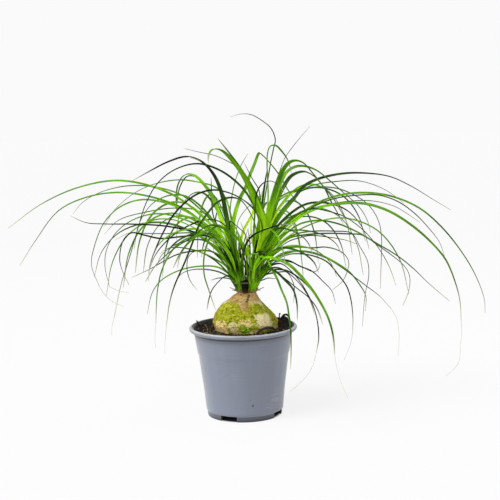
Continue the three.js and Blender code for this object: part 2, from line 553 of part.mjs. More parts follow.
// The points of a leaf of a fan, which springs up, arches over and hangs.
function fanPoints(head, angle, reach, rise, drop) {
  const foot = footHeight(FOOT.lowRise + 0.5 * rise);
  const crest = SEAT + 10 + rise;
  const out = FOOT.spread * head.radius;
  const middle = stemCentre(head, foot);
  const points = [new THREE.Vector3(middle + out * Math.cos(angle), out * Math.sin(angle), foot)];
  for (const [share, up] of FAN_SHAPE) {
    const height = share < 0.5 ? foot + (crest - foot) * up : crest - drop * (1 - up);
    const away = share * reach;
    points.push(new THREE.Vector3(middle + away * Math.cos(angle), away * Math.sin(angle), height));
  }
  return points;
}

// A blade swept along points: a three-sided section of two edges and a keel, closed at both ends.
function blade(points, width, facing) {
  const curve = new THREE.CatmullRomCurve3(points, false, "centripetal");
  const last = points.length - 1;
  const [foot, tip] = [points[0], points[last]];
  const outward = new THREE.Vector3(tip.x - foot.x, tip.y - foot.y, 0).normalize();
  const level = new THREE.Vector3().crossVectors(outward, Z_AXIS);
  const along = runningLengths(points);
  const side = facing * Math.sign(outward.x);
  const form = width >= BLADE.broadFrom ? BLADE.broad : BLADE.narrow;
  const vertices = [];
  for (let i = 0; i < last; i += 1) {
    const share = along[i] / along[last];
    const ahead = curve.getTangent(i / last);
    const across = level.clone().addScaledVector(ahead, -level.dot(ahead)).normalize();
    const crest = form.crestTurn * Math.sin(Math.PI * share ** 1.5);
    const turn = side * (form.footTurn * (1 - share) ** 2 + crest);
    across.applyAxisAngle(ahead, THREE.MathUtils.degToRad(turn));
    const under = new THREE.Vector3().crossVectors(ahead, across);
    if (under.z > 0) under.negate();
    const taper = (1 - share) ** form.taper * Math.min(1, 0.75 + 2 * share);
    const half = Math.max(BLADE.thinnest, 0.5 * width * taper);
    const keel = Math.max(BLADE.keelLeast, BLADE.keelShare * 2 * half);
    for (const corner of [
      points[i].clone().addScaledVector(across, half),
      points[i].clone().addScaledVector(across, -half),
      points[i].clone().addScaledVector(under, keel),
    ]) vertices.push(corner.x, corner.y, corner.z);
  }
  vertices.push(tip.x, tip.y, tip.z);
  return bladeSolid(vertices, last);
}

function bladeSolid(vertices, rings) {
  const corners = [0, 1, 2];
  for (let i = 0; i < rings - 1; i += 1) {
    for (let k = 0; k < 3; k += 1) {
      const [a, b] = [3 * i + k, 3 * i + ((k + 1) % 3)];
      corners.push(a, a + 3, b + 3, a, b + 3, b);
    }
  }
  const [end, tip] = [3 * (rings - 1), 3 * rings];
  for (let k = 0; k < 3; k += 1) corners.push(end + k, tip, end + ((k + 1) % 3));
  return facingOut(new Float32Array(vertices), corners);
}

// The short leaning stem of closely wrapped leaf bases that the blades stand out of.
function headCore(head) {
  const profile = CORE.map(([share, height]) => [share * head.radius, SEAT + height]);
  const geometry = turned(profile, 14);
  const position = geometry.attributes.position;
  for (let i = 0; i < position.count; i += 1) {
    position.setX(i, position.getX(i) + stemCentre(head, position.getZ(i)));
  }
  return solidOf(geometry);
}

function makeHead(name, rows) {
  const head = HEADS[name];
  const blades = rows.map((row) => blade(tracedPoints(head, row), row[1], row[0]));
  const draw = seededDraw(FAN_SEED);
  for (const fan of FANS) {
    for (let i = 0; i < fan.count; i += 1) {
      const [turn, far, high, low, wide] = [draw(), draw(), draw(), draw(), draw()];
      if (fan.head !== name) continue;
      const step = (fan.to - fan.from) / fan.count;
      const angle = THREE.MathUtils.degToRad(fan.from + step * (i + 0.2 + 0.6 * turn));
      const reach = fan.reach * (0.72 + 0.28 * far);
      const rise = fan.rise * (0.62 + 0.38 * high);
      const drop = fan.drop * (0.6 + 0.4 * low);
      blades.push(blade(fanPoints(head, angle, reach, rise, drop), 2.4 + 1.4 * wide, i % 2 ? -1 : 1));
    }
  }
  return joined([headCore(head), ...blades]);
}

function addPiece(group, name, solid, look) {
  const mesh = new THREE.Mesh(geometryOf(solid), new THREE.MeshStandardMaterial(look));
  mesh.name = name;
  group.add(mesh);
}

const plant = new THREE.Group();
addPiece(plant, "pot", makePot(), PALETTE.pot);
addPiece(plant, "soil", makeSoil(), PALETTE.soil);
addPiece(plant, "caudex", makeCaudex(0), PALETTE.caudex);
addPiece(plant, "old_stem_stump", makeStump(), PALETTE.stump);
addPiece(plant, "dry_leaf_bases_left", makeCollar(HEADS.left, DRY_BASES.left), PALETTE.collar);
addPiece(plant, "dry_leaf_bases_right", makeCollar(HEADS.right, DRY_BASES.right), PALETTE.collar);
addPiece(plant, "leaf_head_left", makeHead("left", LEFT_LEAVES), PALETTE.leaf);
addPiece(plant, "leaf_head_right", makeHead("right", RIGHT_LEAVES), PALETTE.leaf);

export default plant;
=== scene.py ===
"""A ponytail palm in a plastic nursery pot: a swollen stem base with two heads of long arching leaves.

Metres, +Z up. The origin is the centre of the pot's foot, +X is to the viewer's right in the front view
and -Y faces the viewer. The tables are in millimetres, and MM turns them to metres where a mesh is made.
"""
import functools
import math
import random

import bmesh
import bpy
from bpy.props import FloatProperty, FloatVectorProperty, IntProperty, PointerProperty
from mathutils import Matrix, Quaternion, Vector, noise


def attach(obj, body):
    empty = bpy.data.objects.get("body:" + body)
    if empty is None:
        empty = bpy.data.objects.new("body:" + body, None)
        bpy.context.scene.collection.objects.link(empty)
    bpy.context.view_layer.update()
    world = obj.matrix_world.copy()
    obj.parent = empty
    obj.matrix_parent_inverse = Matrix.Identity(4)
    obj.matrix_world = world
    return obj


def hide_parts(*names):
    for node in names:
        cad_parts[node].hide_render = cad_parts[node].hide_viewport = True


bl_info = {
    "name": "Potted ponytail palm",
    "version": (1, 0, 0),
    "blender": (4, 5, 0),
    "location": "View3D > Sidebar > Ponytail palm",
    "description": "Makes a ponytail palm in a nursery pot, piece by piece",
    "category": "Add Mesh",
}

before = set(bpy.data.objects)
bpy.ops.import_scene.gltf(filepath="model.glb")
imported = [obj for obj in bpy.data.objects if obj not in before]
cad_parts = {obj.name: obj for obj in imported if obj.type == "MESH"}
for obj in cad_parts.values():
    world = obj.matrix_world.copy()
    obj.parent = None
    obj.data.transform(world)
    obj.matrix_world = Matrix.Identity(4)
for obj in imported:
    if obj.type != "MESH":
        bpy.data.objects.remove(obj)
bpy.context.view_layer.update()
MM = 0.001
UP = Vector((0, 0, 1))
CLEARANCE = 0.3


def linear(colour):
    """An sRGB hex colour as linear RGBA."""
    parts = [(colour >> shift & 255) / 255 for shift in (16, 8, 0)]
    return tuple(c / 12.92 if c <= 0.04045 else ((c + 0.055) / 1.055) ** 2.4 for c in parts) + (1.0,)


# ---------------------------------------------------------------- sizes that the pieces share

# The pot's section as [radius, height]: outside from the foot up, over the rim, down the inside.
POT_OUTSIDE = [[41.35, 0.25], [41.5, 1.5], [41.9, 5.7], [42.15, 6.3], [42.7, 6.55], [43, 6.9], [43.3, 10],
               [45.2, 30], [48, 51], [50.3, 68.9], [50.6, 69.9], [51, 70.7], [51.3, 71.6], [52.8, 81],
               [54.4, 91.5], [54.75, 93.9]]
POT_RIM = [[54.95, 94.6], [55.4, 94.95], [56.6, 95.05], [57.9, 95.2], [58.9, 95.6], [59.6, 96.3],
           [59.95, 97.3], [59.97, 98.1], [59.7, 98.9], [59.2, 99.45], [58.5, 99.87], [57.7, 99.98],
           [56.9, 99.8], [56.1, 99.2], [55.4, 98.4]]
POT_INSIDE = [[54.8, 97.2], [52.7, 88.4], [49.4, 71], [43.6, 30], [41.4, 9.6], [41, 8.7], [40.2, 8.2]]
POT_FLOOR = 8.2
POT_FOOT = {"inner": 38.6, "height": 6.7}
POT_NOTCHES = [-25.6, 64.4, 154.4, 244.4]  # degrees from the front towards +X
POT_NOTCH = {"height": 6.25, "angle": 27}
POT_DRAINS = {"count": 6, "radius": 3.6, "circle": 25}
POT_EDGE = 50  # degrees, from which an edge stays sharp

# The stem base: [height, how far its centre lies to the right, radius].
CAUDEX = [[73, 4, 0], [74, 4, 9], [80, 4, 21], [88, 4, 30.5], [95, 3.9, 35.2], [104, 2.6, 37],
          [112, 1.2, 33.6], [120, 0, 27.2], [126, 0.2, 21.4], [130, 2.1, 16.6], [134.5, 3.6, 12.8],
          [136.8, 4.8, 10.6], [137.6, 4.8, 9.2]]
SWELLING = 0.022

SOIL_LEVEL = 96.6
SOIL_HEAP = {"x": 46, "y": 17, "height": 8.5, "spread": 11}
SOIL_STEPS = 144
FIBRES = 46

SEAT = 137.9
# A head's shade is the tone of its wrapped leaf bases, set low as painted shade among the leaves.
HEADS = {
    "left": {"x": -1.7, "radius": 3.5, "lean": -0.32, "shade": 0.32},
    "right": {"x": 10.6, "radius": 4.5, "lean": 0.26, "shade": 0.5},
}
# The stem of wrapped leaf bases: share of the head's radius, and height over the seat.
CORE = [[0.9, 0], [1.12, 4], [1.35, 12], [1.6, 22], [1.4, 31], [0, 38]]
STEM_REST = 3
STUMP = {"x": 3.3, "y": -6.6, "radius": 3, "height": 16.5, "scars": (149, 154)}
DRY_BASES = {
    "left": {"from": 66, "to": 268, "stubs": [[172, 9, 32], [215, 7.5, 24]]},
    "right": {"from": 114, "to": -104, "stubs": [[-12, 9.5, 30], [-40, 8, 20]]},
}

SHEATHS = 14
# Leaf points are given as they look from here. Pitch and roll are in degrees.
EYE = {"distance": 1380, "height": 380, "across": 9.7, "pitch": 8.07, "roll": 1.3}
FOOT = {"spread": 0.35, "low": 4, "high": 20, "low_rise": 148, "high_rise": 195}

# Leaves of the left head: [face, width, depth of the tip, bow, shade, then [across, up] from foot to tip].
# Face says which way a blade turns about its own length, and the crest turns more where it is further
# from 0. Depth and bow are positive away from the viewer. Shade goes from 0, deep green, over 0.5 to 1,
# fresh yellow-green, and is partly painted light and shade: low for leaves in shadow, high for lit ones.
LEFT_LEAVES = [
    [1, 3.2, 34, 0, 0.62, [-14, 190], [-40, 221], [-70, 245.5], [-105, 260], [-138, 264.6], [-180, 257],
     [-220, 239.5], [-256, 214.5]],
    [1, 2.8, 75, 0, 0.55, [-16, 186], [-45, 219], [-66, 234], [-100, 246.5], [-135, 251.5], [-170, 246.5],
     [-200, 232.5], [-227, 199.5], [-245, 173]],
    [1, 2.8, 45, 0, 0.55, [-12, 188], [-48, 221.5], [-75, 236.5], [-106, 243], [-131, 236], [-150, 218.5],
     [-162, 192], [-166, 172], [-158, 147]],
    [-1.3, 6.5, 120, 0, 0.06, [-10, 190], [-15, 222], [-20, 250], [-28, 270], [-40, 283.5], [-57, 289],
     [-77, 284], [-100, 273], [-118, 263.5]],
    [3, 7, 48, 0, 0.13, [-10, 188], [-15, 220], [-20, 248], [-28, 268.5], [-40, 282.5], [-55, 288.5]],
    [1, 2.2, 130, 0, 0.48, [-13, 195], [-30, 216], [-43, 230], [-62, 246], [-90, 256], [-121, 258.5],
     [-150, 253], [-172, 242], [-184, 229]],
    [1, 2.1, 206, 0, 0.55, [-7, 195], [-11, 225], [-16, 243], [-26, 254.5], [-44, 260.5], [-66, 263.8],
     [-96, 259], [-120, 247.5], [-140, 230], [-150, 214]],
    [-1, 3.2, 12, 0, 0.02, [-16, 182], [-33, 199], [-52, 206], [-82, 213], [-117, 216], [-150, 217],
     [-170, 219], [-187, 227]],
    [1, 3.4, -205, 0, 0.62, [-10, 176], [-20, 193], [-31, 207], [-42, 205.5], [-56, 196], [-68, 181],
     [-76, 166]],
    [-1, 3.2, -30, 0, 0.03, [-14, 180], [-30, 198], [-45, 202], [-66, 201], [-89, 199.5], [-107, 203.8],
     [-120, 206.5], [-129.5, 198.7], [-134.5, 178], [-132, 164], [-125, 148]],
    [1, 1.9, 90, 0, 0.48, [-12, 184], [-33, 202], [-56, 205], [-82, 204.7], [-105, 205.5], [-124, 206],
     [-138, 199]],
    [1, 2.3, 100, 0, 0.48, [-12, 180], [-35, 206], [-58, 218.5], [-88, 227], [-114, 222.6], [-135, 209.5],
     [-148, 190], [-151, 170], [-147, 147]],
    [-1, 2, 150, 0, 0.42, [-10, 185], [-28, 216], [-47, 229.5], [-73, 232.8], [-104, 229], [-134, 220.8],
     [-150, 206]],
    [1, 5.5, 90, 0, 0.64, [-9, 185], [-21, 218], [-27.5, 238], [-38, 257], [-49, 268], [-59, 269.5],
     [-67, 260], [-70, 243], [-69.5, 228]],
    [-1, 2.3, 125, 0, 0.3, [-8, 190], [-19, 222], [-29, 247], [-45, 265], [-57, 267.5], [-65, 257],
     [-69, 240], [-71, 222]],
    [1, 5, 96, 0, 0.5, [-7, 185], [-8, 214], [-5, 228], [1, 244], [6, 253], [10.5, 265], [17, 280],
     [22.3, 291.2], [25.5, 289], [42, 269], [54, 248], [67, 231]],
    [1, 1.7, 140, 0, 0.57, [-8, 190], [-11, 228], [-9, 243], [-5, 260], [-1, 271], [3, 280], [10, 291]],
    [-1, 3, 130, 0, 0.03, [-12, 190], [-29, 220.5], [-31, 240], [-31, 255], [-31, 266]],
    [-1, 2.8, -90, -12, 0.02, [-1, 166], [2, 180], [6, 192], [13, 200.5], [23, 205.5], [34, 209],
     [45, 212], [60, 211]],
    [-1, 2.6, -80, 0, 0.02, [-7, 182], [-12, 207], [-11, 217], [-5, 212], [3, 204.5], [9, 196]],
    [1, 3.6, 60, 0, 1, [-3, 172], [-1, 190], [3, 206], [9, 217], [17, 231], [24, 245], [27, 258]],
    [-1, 1.8, 100, 0, 0.57, [-5, 180], [-5, 204], [-2, 218], [6, 229.5], [14, 236], [25, 241]],
    [1, 2.4, 40, 0, 0.48, [-10, 160], [-19.5, 169], [-27, 174], [-36, 179], [-46.5, 184], [-57, 187],
     [-68, 189], [-82, 188], [-90, 182]],
    [-1, 2.8, -40, 0, 0.03, [-10, 160], [-17, 171.5], [-25, 179], [-33, 183.8], [-43.5, 185],
     [-61.5, 183.5], [-74, 180], [-86, 174], [-101, 166], [-122, 156.5]],
    [1, 2.2, 20, 0, 0.48, [-10, 153], [-16.5, 160], [-27, 166.3], [-45, 167.6], [-63, 165.2],
     [-80, 158.7], [-92, 150.3], [-100, 138.5], [-104, 125], [-106, 115]],
    [-1, 2.1, -70, 0, 0.48, [-10, 152], [-17.5, 157], [-26, 161], [-39, 163.8], [-53, 164], [-66, 160],
     [-74, 150]],
    [-1, 2.8, -110, 0, 0.02, [-7, 149], [-13, 155.5], [-19, 155.5], [-26, 150], [-33, 141.5], [-37, 131],
     [-39.7, 118.5]],
    [1, 1.7, -25, 0, 0.36, [-12, 152], [-24, 154], [-35, 151.5]],
    [1, 2.4, -130, 0, 0.55, [-13, 178], [-24, 193], [-33, 199.5], [-38, 190], [-41.5, 175], [-41.5, 158],
     [-37, 141], [-30, 118]],
    [1, 2.2, -80, 0, 0.55, [-12, 175], [-30, 194], [-47, 200.5], [-60, 198.5], [-72, 190.5], [-82, 177],
     [-89, 162], [-94, 141], [-96, 120], [-97, 104]],
    [-1, 2.5, 55, 0, 0.03, [-8, 192], [-17, 212], [-28, 218.5], [-42, 218.5], [-56, 213.5], [-70, 206],
     [-84, 194.5], [-95, 181], [-103, 163]],
    [-1, 1.7, -110, 0, 0.36, [-12, 165], [-25, 180], [-40, 185.5], [-52, 184], [-58, 179], [-60.5, 168],
     [-58, 153], [-50, 141]],
]

# Leaves of the right head, in the same form.
RIGHT_LEAVES = [
    [-1, 2.8, -120, 0, 0.16, [16, 182], [21, 215], [11, 241.5], [1, 255.5], [-19, 272], [-45, 281],
     [-70, 275.3], [-90, 260.5], [-104, 237.5], [-113, 212], [-124, 178], [-134, 149], [-143, 112]],
    [1, 2.7, -170, 0, 0.04, [17, 182], [24, 208], [18.5, 225], [7, 237.5], [-8, 246.7], [-28, 251.8],
     [-46, 248], [-61, 238], [-75, 223.3], [-86, 205], [-93.5, 190], [-101, 171], [-104, 152]],
    [1, 2.8, -150, 0, 0.24, [13, 180], [17, 207], [9, 229.5], [0, 240.5], [-12, 243], [-25, 238],
     [-36.5, 225.5], [-47, 210.5], [-53, 195], [-63, 171.5], [-75, 146], [-81, 127], [-85.5, 100]],
    [-1, 3.6, -200, 0, 0.36, [9, 174], [3, 189], [-8, 201.5], [-20, 210], [-30, 213.3], [-41, 210],
     [-55, 199.5], [-68, 192], [-82, 182], [-96, 168.5], [-107, 151.5]],
    [-1, 9, -90, 0, 0.64, [19, 180], [25, 212], [20.5, 229], [13, 248], [5, 266], [-7, 283], [-19, 295],
     [-28.5, 296.3], [-33, 290.5], [-34, 281]],
    [-1, 5.6, -60, 0, 0.5, [21, 180], [28, 212], [24, 228], [16, 249], [3, 272], [-9.5, 290.5],
     [-23, 308.5]],
    [-1, 1.7, -30, 0, 0.23, [17, 190], [22, 230], [21, 250], [15.5, 260.5], [12, 267], [5, 282]],
    [1, 1.7, 25, 0, 0.23, [15, 185], [24, 225], [31, 262], [34.5, 281], [38, 296], [40, 305], [36, 317],
     [27, 325.5], [14, 333], [2, 333.8], [-8, 331]],
    [1, 4.8, -25, 0, 0.6, [17, 180], [27, 215], [30.7, 243], [30.3, 270], [31, 290.5], [34, 298],
     [40, 299], [46, 293.5], [53.5, 282], [57, 268]],
    [1, 1.5, -50, 0, 0.36, [20, 190], [30, 230], [38, 255], [44.5, 272], [50, 285], [62, 301], [78, 319]],
    [1, 1.6, -75, 0, 0.09, [14, 190], [16, 235], [10, 260], [0, 275], [-10, 281.5], [-26, 289.3],
     [-44, 293.7], [-60, 298]],
    [-1, 2.2, -70, 0, 0.03, [14, 190], [16, 225], [18, 245], [21.5, 253.5], [27, 258.7], [35, 260],
     [43, 255], [50, 246]],
    [-1, 3.4, -25, 0, 0.16, [15, 190], [20, 215], [24.5, 238], [26.5, 250], [28.5, 263], [31, 276]],
    [-1, 8.4, -55, 0, 0.48, [17, 178], [26, 200], [32, 224], [37, 243], [42, 259], [48, 272.5],
     [55.5, 280.5], [63, 282], [71, 279], [80, 268.5], [92, 252.5], [103, 238.5], [112, 222.5],
     [120, 206]],
    [1, 6, 30, 0, 0.5, [17, 180], [29, 215], [38, 240], [45, 258], [52, 270], [62, 275.5], [72, 275.5],
     [84, 271], [98.5, 259.5], [112, 247.3], [122, 238.5], [133, 226.5], [140, 213], [143, 200]],
    [1, 6.5, 80, 0, 0.22, [18, 178], [31, 212], [41, 240], [48.5, 254.5], [57, 265.5], [70, 269.8],
     [80.5, 265.5], [91, 254], [100, 236], [107, 223], [113, 211]],
    [1, 5.2, 50, 0, 0.15, [17, 172], [28, 197], [44.5, 223], [58, 239], [70.5, 253.8], [86, 261.3],
     [112, 266.5], [138, 266.5], [165, 262], [189, 250.5], [211, 236.5], [231, 224]],
    [1, 2.3, 110, 0, 0.36, [20, 190], [32, 225], [44, 242], [60, 249], [85, 252.4], [104, 251],
     [120, 245.5], [137, 235], [147, 223.5], [153, 210], [155, 196], [154.8, 176], [154, 158],
     [153.3, 138]],
    [1, 1.7, 155, 0, 0.36, [20, 190], [40, 236], [67, 250], [85, 255.5], [105, 258], [128, 258.5],
     [149, 252.7], [166, 243.5], [180, 232]],
    [1, 3.2, -36, 0, 0.5, [19, 168], [32, 190], [45.5, 207], [63.5, 221.5], [80.5, 232.5], [97, 239.7],
     [120.5, 244.6], [147, 244.3], [171, 239], [197.5, 226.3], [220.5, 206], [242, 179], [258, 152],
     [268.5, 124], [269.5, 108]],
    [-1, 2.2, 25, 0, 0.23, [20, 168], [36, 194], [56, 214.5], [80, 230.5], [104, 239.3], [130, 242.5],
     [153, 241.8], [173.5, 234.3], [191.5, 221], [207.5, 203.8], [219, 188], [226, 167]],
    [1, 4.2, -80, 0, 0.57, [20, 165], [34, 188], [52, 207.5], [67.5, 221], [89, 230.3], [112, 233.7],
     [138, 232.8], [164, 223.8], [188.5, 207.7], [209.5, 188.7], [226, 168.3], [236.5, 142.5],
     [241.5, 122], [243, 100]],
    [1, 1.6, 100, 0, 0.36, [20, 175], [45, 214], [80, 229], [110, 235], [143, 236], [169.5, 229.2],
     [188.5, 217.3], [197, 211]],
    [-1, 2.2, -110, 0, 0.15, [19, 165], [34, 192], [52, 214], [68, 225.5], [80, 228.7], [94.5, 226],
     [114.5, 219], [133.5, 205], [147, 190], [158, 173], [165, 158], [170.5, 141]],
    [1, 2.6, 12, 0, 0.43, [21, 163], [33, 184], [49.5, 201.5], [65, 212], [85.5, 215.5], [107, 211.5],
     [127.5, 202.2], [148.5, 189.3], [173, 173.8], [191, 158.6], [206, 143.4], [230, 122]],
    [1, 2.3, 75, 0, 0.36, [22, 160], [36, 182], [53, 196.5], [69, 199.7], [92, 201], [116, 200],
     [134.5, 198], [150, 187], [167, 174.3], [181, 161.4], [186, 150], [184.5, 134], [178, 118]],
    [1, 1.9, 130, 0, 0.36, [21, 165], [38, 188], [58.5, 200.3], [78, 203.6], [103, 203.2], [122, 200.5],
     [131, 185.5], [139.5, 168.5], [140.5, 152], [136, 130], [133, 96]],
    [-1, 2, 60, 0, 0.23, [21, 160], [34, 178], [50.5, 192], [65.5, 197], [78, 199], [96, 196.8],
     [116, 192.8], [128, 188]],
    [1, 2.1, 45, 0, 0.36, [22, 162], [33, 176], [46, 185], [62, 186.5], [79, 185.2], [92.5, 185.8],
     [105.5, 182.5], [114, 177], [118.7, 168], [116, 155.7], [110.5, 146], [100.5, 137.8]],
    [1, 2.8, -75, 0, 0.5, [22, 158], [32, 171], [45.5, 180], [58.5, 182], [74.5, 181], [90, 176],
     [107, 166.5], [120, 156.5], [130, 143.5], [137, 130], [136.3, 113]],
    [1, 2, -15, 0, 0.36, [23, 158], [36, 173], [58, 181.5], [76, 180], [94, 173.4], [113, 161],
     [124, 152.2], [137, 141.7], [151, 130.7], [165, 115]],
    [-1, 2.2, 95, 0, 0.23, [23, 155], [38, 172], [53, 178.5], [69, 178.5], [83, 175], [95.5, 168.5],
     [106, 155.5], [116, 141.2], [120.5, 126], [122.5, 106], [122, 90]],
    [-1, 3.2, -45, 0, 0.02, [20, 158], [31, 171], [41, 173], [53, 171.3], [64.5, 165], [77.5, 159.3],
     [90, 147.3], [99.5, 136.5], [103.3, 122]],
    [1, 1.7, 40, 0, 0.36, [22, 156], [36, 170], [54, 170], [70, 162.5], [79, 158.5], [84.5, 160.7],
     [87, 168.5]],
    [1, 3.6, -190, 0, 0.55, [17, 165], [26, 175.5], [38, 174], [51.5, 167.7], [62.5, 157.3],
     [78.5, 136.8], [92.5, 112], [98.5, 94], [101, 78], [101.5, 64]],
    [-1, 2.8, -120, 0, 0.03, [20, 155], [31, 166], [43.5, 168.4], [54.8, 160], [69, 140.7], [79, 119],
     [83.5, 98], [84, 82], [81, 66]],
    [-1, 3, -150, 0, 0.16, [18, 153], [26, 163], [35, 161.5], [47.5, 152], [61, 140.5], [74, 129.5],
     [83, 116.5], [89, 98.5]],
    [-1, 1.9, -60, 0, 0.03, [18, 151], [28, 157], [41, 159], [50, 158.5], [57, 146], [57.8, 134],
     [56.5, 124]],
    [1, 3, -100, 0, 0.23, [17, 153], [27, 162], [37, 160], [48, 149.5], [56.5, 139], [60.5, 122],
     [60.5, 104]],
    [1, 2.8, -125, 0, 0.45, [14, 162], [20, 176.5], [28, 174], [33, 163], [38.5, 152.5], [43.5, 139],
     [49, 124.5], [51.5, 107], [52.8, 93], [53, 72], [52, 49]],
    [1, 3.6, -120, 0, 0.7, [14, 163], [20, 177], [13, 180], [7, 176.5]],
    [1, 2.8, -30, 0, 0.5, [16, 150], [22, 153.5], [29, 157], [38, 157.5]],
    [-1, 2.2, 10, 0, 0.03, [16, 148], [23, 150.5], [29, 152.5], [38, 151.5]],
    [-1, 2.8, -140, 0, 0.08, [22, 154], [31, 163], [42, 163.5], [54, 156], [66, 143], [75, 127], [80, 110]],
    [1, 2.4, -50, 0, 0.2, [22, 152], [33, 161], [48, 161], [62, 153], [76, 139], [87, 122]],
]

# Young and shrivelled leaves at the hearts of the heads, the darkest set dark as painted shade deep in
# the hearts: [head, width, depth, shade, then [across, up]].
HEART_LEAVES = [
    ["left", 1.8, -7, 0, [2, 148], [1.8, 154], [0, 164.5], [0.6, 171], [-1.5, 179], [-2.9, 188],
     [-2.2, 196]],
    ["left", 1.8, -9, 0, [3, 150], [3.5, 154], [4.8, 162], [2.2, 169], [0.7, 175.6], [-0.3, 184]],
    ["right", 1.8, -8, 0.02, [5, 148], [6.2, 152], [8.6, 162], [6.6, 168.8], [2.8, 174.4], [1.4, 183.4],
     [-3, 190]],
    ["right", 1.6, -10, 0.1, [9, 152], [8.6, 162], [10, 170.9], [7.3, 176.6], [4.2, 184.5], [1, 189],
     [-5, 192]],
    ["right", 1.6, -12, 0.05, [17, 175], [18.5, 184], [17.6, 192], [15.5, 196.5], [12, 199]],
    ["right", 1.6, -16, 0.1, [5, 181], [7.4, 182.2], [11.8, 179.6], [18.5, 182.2], [23.5, 182.3],
     [27, 180]],
    ["left", 2, -8, 0.08, [-4, 150], [-7, 160], [-9, 172], [-10, 184], [-15, 197]],
    ["left", 2.2, -9, 0.5, [-5, 148], [-10, 158], [-13, 168], [-15, 180], [-20, 196]],
    ["left", 1.6, -11, 0.05, [0, 152], [-3, 166], [-9, 177], [-15, 184], [-24, 190]],
    ["left", 1.6, 3, 0.12, [-2, 150], [2, 166], [1, 180], [6, 194], [13, 206]],
    ["right", 5.2, 2, 1, [10.5, 150], [11.3, 158], [13.3, 171], [14.6, 183], [12.7, 195.5],
     [11.3, 206.5], [12.1, 220], [15, 236], [20, 252]],
    ["right", 4.2, -3, 0.97, [13, 152], [15, 163], [18.5, 173], [23.5, 186], [28.5, 199], [33.5, 212],
     [41, 226], [50, 238]],
    ["right", 2.6, -6, 0.8, [11, 149], [12, 160], [13, 170], [16, 181], [20, 190]],
    ["right", 2.4, -8, 0.35, [9, 149], [8.6, 158], [9.5, 170], [13, 181], [15, 192]],
    ["left", 2.2, -6, 0.1, [1.2, 153], [0.6, 171], [-1.3, 187], [-3.2, 200]],
    ["left", 2, -3, 0.05, [3.5, 154], [5, 171], [7.5, 184], [11, 195.5]],
    ["right", 2.4, -6, 0.25, [6.7, 151], [4, 171], [0, 190], [-5, 207]],
    ["right", 2.6, 1, 0.45, [9, 148.5], [9.4, 171], [9.8, 189], [8, 209]],
    ["left", 2.4, -10, 0.4, [0, 150], [-2.8, 171], [-5.6, 189], [-12, 205]],
    ["left", 1.8, -12, 0.08, [2.3, 151], [1.8, 175.5], [3.3, 193.5], [8, 208]],
    ["right", 3.2, 4, 0.88, [9, 151], [11.6, 171], [14.3, 191], [13.6, 211]],
    ["right", 2, -12, 0.2, [9, 151], [8.3, 173], [4.3, 189], [-2, 198]],
    ["left", 2.2, -4, 0.3, [-1, 151], [1.7, 173.5], [6.4, 186.5], [14.4, 195.5]],
    ["left", 1.8, -14, 0, [-2, 151], [-6, 168], [-13.6, 180.5], [-22, 188.5]],
    ["right", 2.2, -12, 0.55, [11.2, 151], [15, 171], [20.7, 184], [29.7, 191.5]],
    ["right", 1.8, -14, 0.05, [13.4, 151], [19.3, 168.5], [27.3, 181.5], [36.3, 188]],
    ["right", 2, -8, 0.7, [8.8, 146], [6, 162], [5, 177.5], [1, 189]],
    ["left", 3, -12, 0.3, [-5, 147], [-9, 158], [-15, 172], [-23, 187], [-33, 200]],
    ["left", 2.6, -14, 0.12, [-4, 147], [-7, 157], [-12, 170], [-18, 182], [-26, 195]],
    ["left", 2.8, -8, 0.5, [-6, 147], [-11, 157], [-19, 170], [-29, 181], [-41, 190]],
    ["left", 2.4, -16, 0.08, [-3, 148], [-4.5, 160], [-8, 174], [-12, 188], [-19, 203]],
    ["left", 2.6, -10, 0.35, [-7, 147], [-13, 156], [-21, 166], [-31, 175], [-44, 183]],
    ["right", 3.4, -6, 0.85, [9, 150], [9, 168], [8, 184], [5, 200], [0, 216]],
    ["right", 2.8, 2, 0.6, [8, 150], [6.5, 170], [3, 188], [-4, 206], [-12, 222]],
    ["right", 4, 4, 0.8, [14, 152], [18, 176], [21, 200], [22, 224], [21, 246]],
    ["right", 4.9, -12, 0, [15, 150], [19, 170], [23, 190], [24, 208], [18.5, 225], [7, 237.5], [-8, 246.7]],
    ["right", 3.6, -10, 0.02, [10, 150], [13, 172], [19, 196], [27, 218], [36, 236]],
    ["left", 3, -11, 0, [1, 150], [-2, 164], [-8, 178], [-16, 190], [-22, 198]],
]

# Hair-thin pale ends of the longest leaves: [head, depth, then [across, up]].
LEAF_HAIRS = [
    ["right", -120, [81, 66], [77.5, 54], [71.5, 42.7], [61, 31.5], [50.9, 22.5]],
    ["right", -190, [101.5, 64], [104, 48], [109, 30], [115.9, 14.1]],
    ["right", 95, [122, 90], [119.5, 76], [111.9, 57.8]],
    ["right", -15, [165, 115], [171, 104], [173.4, 90], [173.5, 76], [172.3, 61]],
    ["right", -80, [243, 100], [243.5, 88], [242.7, 77.6], [239.4, 50.3], [226, 36.8]],
    ["right", -120, [-143, 112], [-145.5, 103], [-146.5, 92]],
    ["right", -150, [-85.5, 100], [-87.4, 82.9], [-88, 70]],
    ["left", 45, [-158, 147], [-151.5, 137], [-143.6, 129.6], [-132, 124]],
    ["left", 100, [-147, 147], [-138, 142.5], [-125.5, 139.3]],
    ["left", -80, [-97, 104], [-98.4, 87.7], [-98, 76]],
]

# Leaves on the sides that the front view doesn't show: each spreads on its own head's side, between two
# directions in degrees anticlockwise from +X.
FANS = [
    {"head": "left", "from": 98, "to": 166, "count": 10, "reach": 188, "rise": 100, "drop": 92},
    {"head": "left", "from": 192, "to": 258, "count": 5, "reach": 118, "rise": 72, "drop": 34},
    {"head": "right", "from": 82, "to": 14, "count": 10, "reach": 190, "rise": 104, "drop": 96},
    {"head": "right", "from": -12, "to": -78, "count": 5, "reach": 116, "rise": 68, "drop": 34},
]
FAN_SHAPE = [[0.06, 0.3], [0.2, 0.7], [0.42, 0.98], [0.6, 1], [0.8, 0.82], [0.94, 0.45], [1, 0]]
SPAN_STEPS = 5
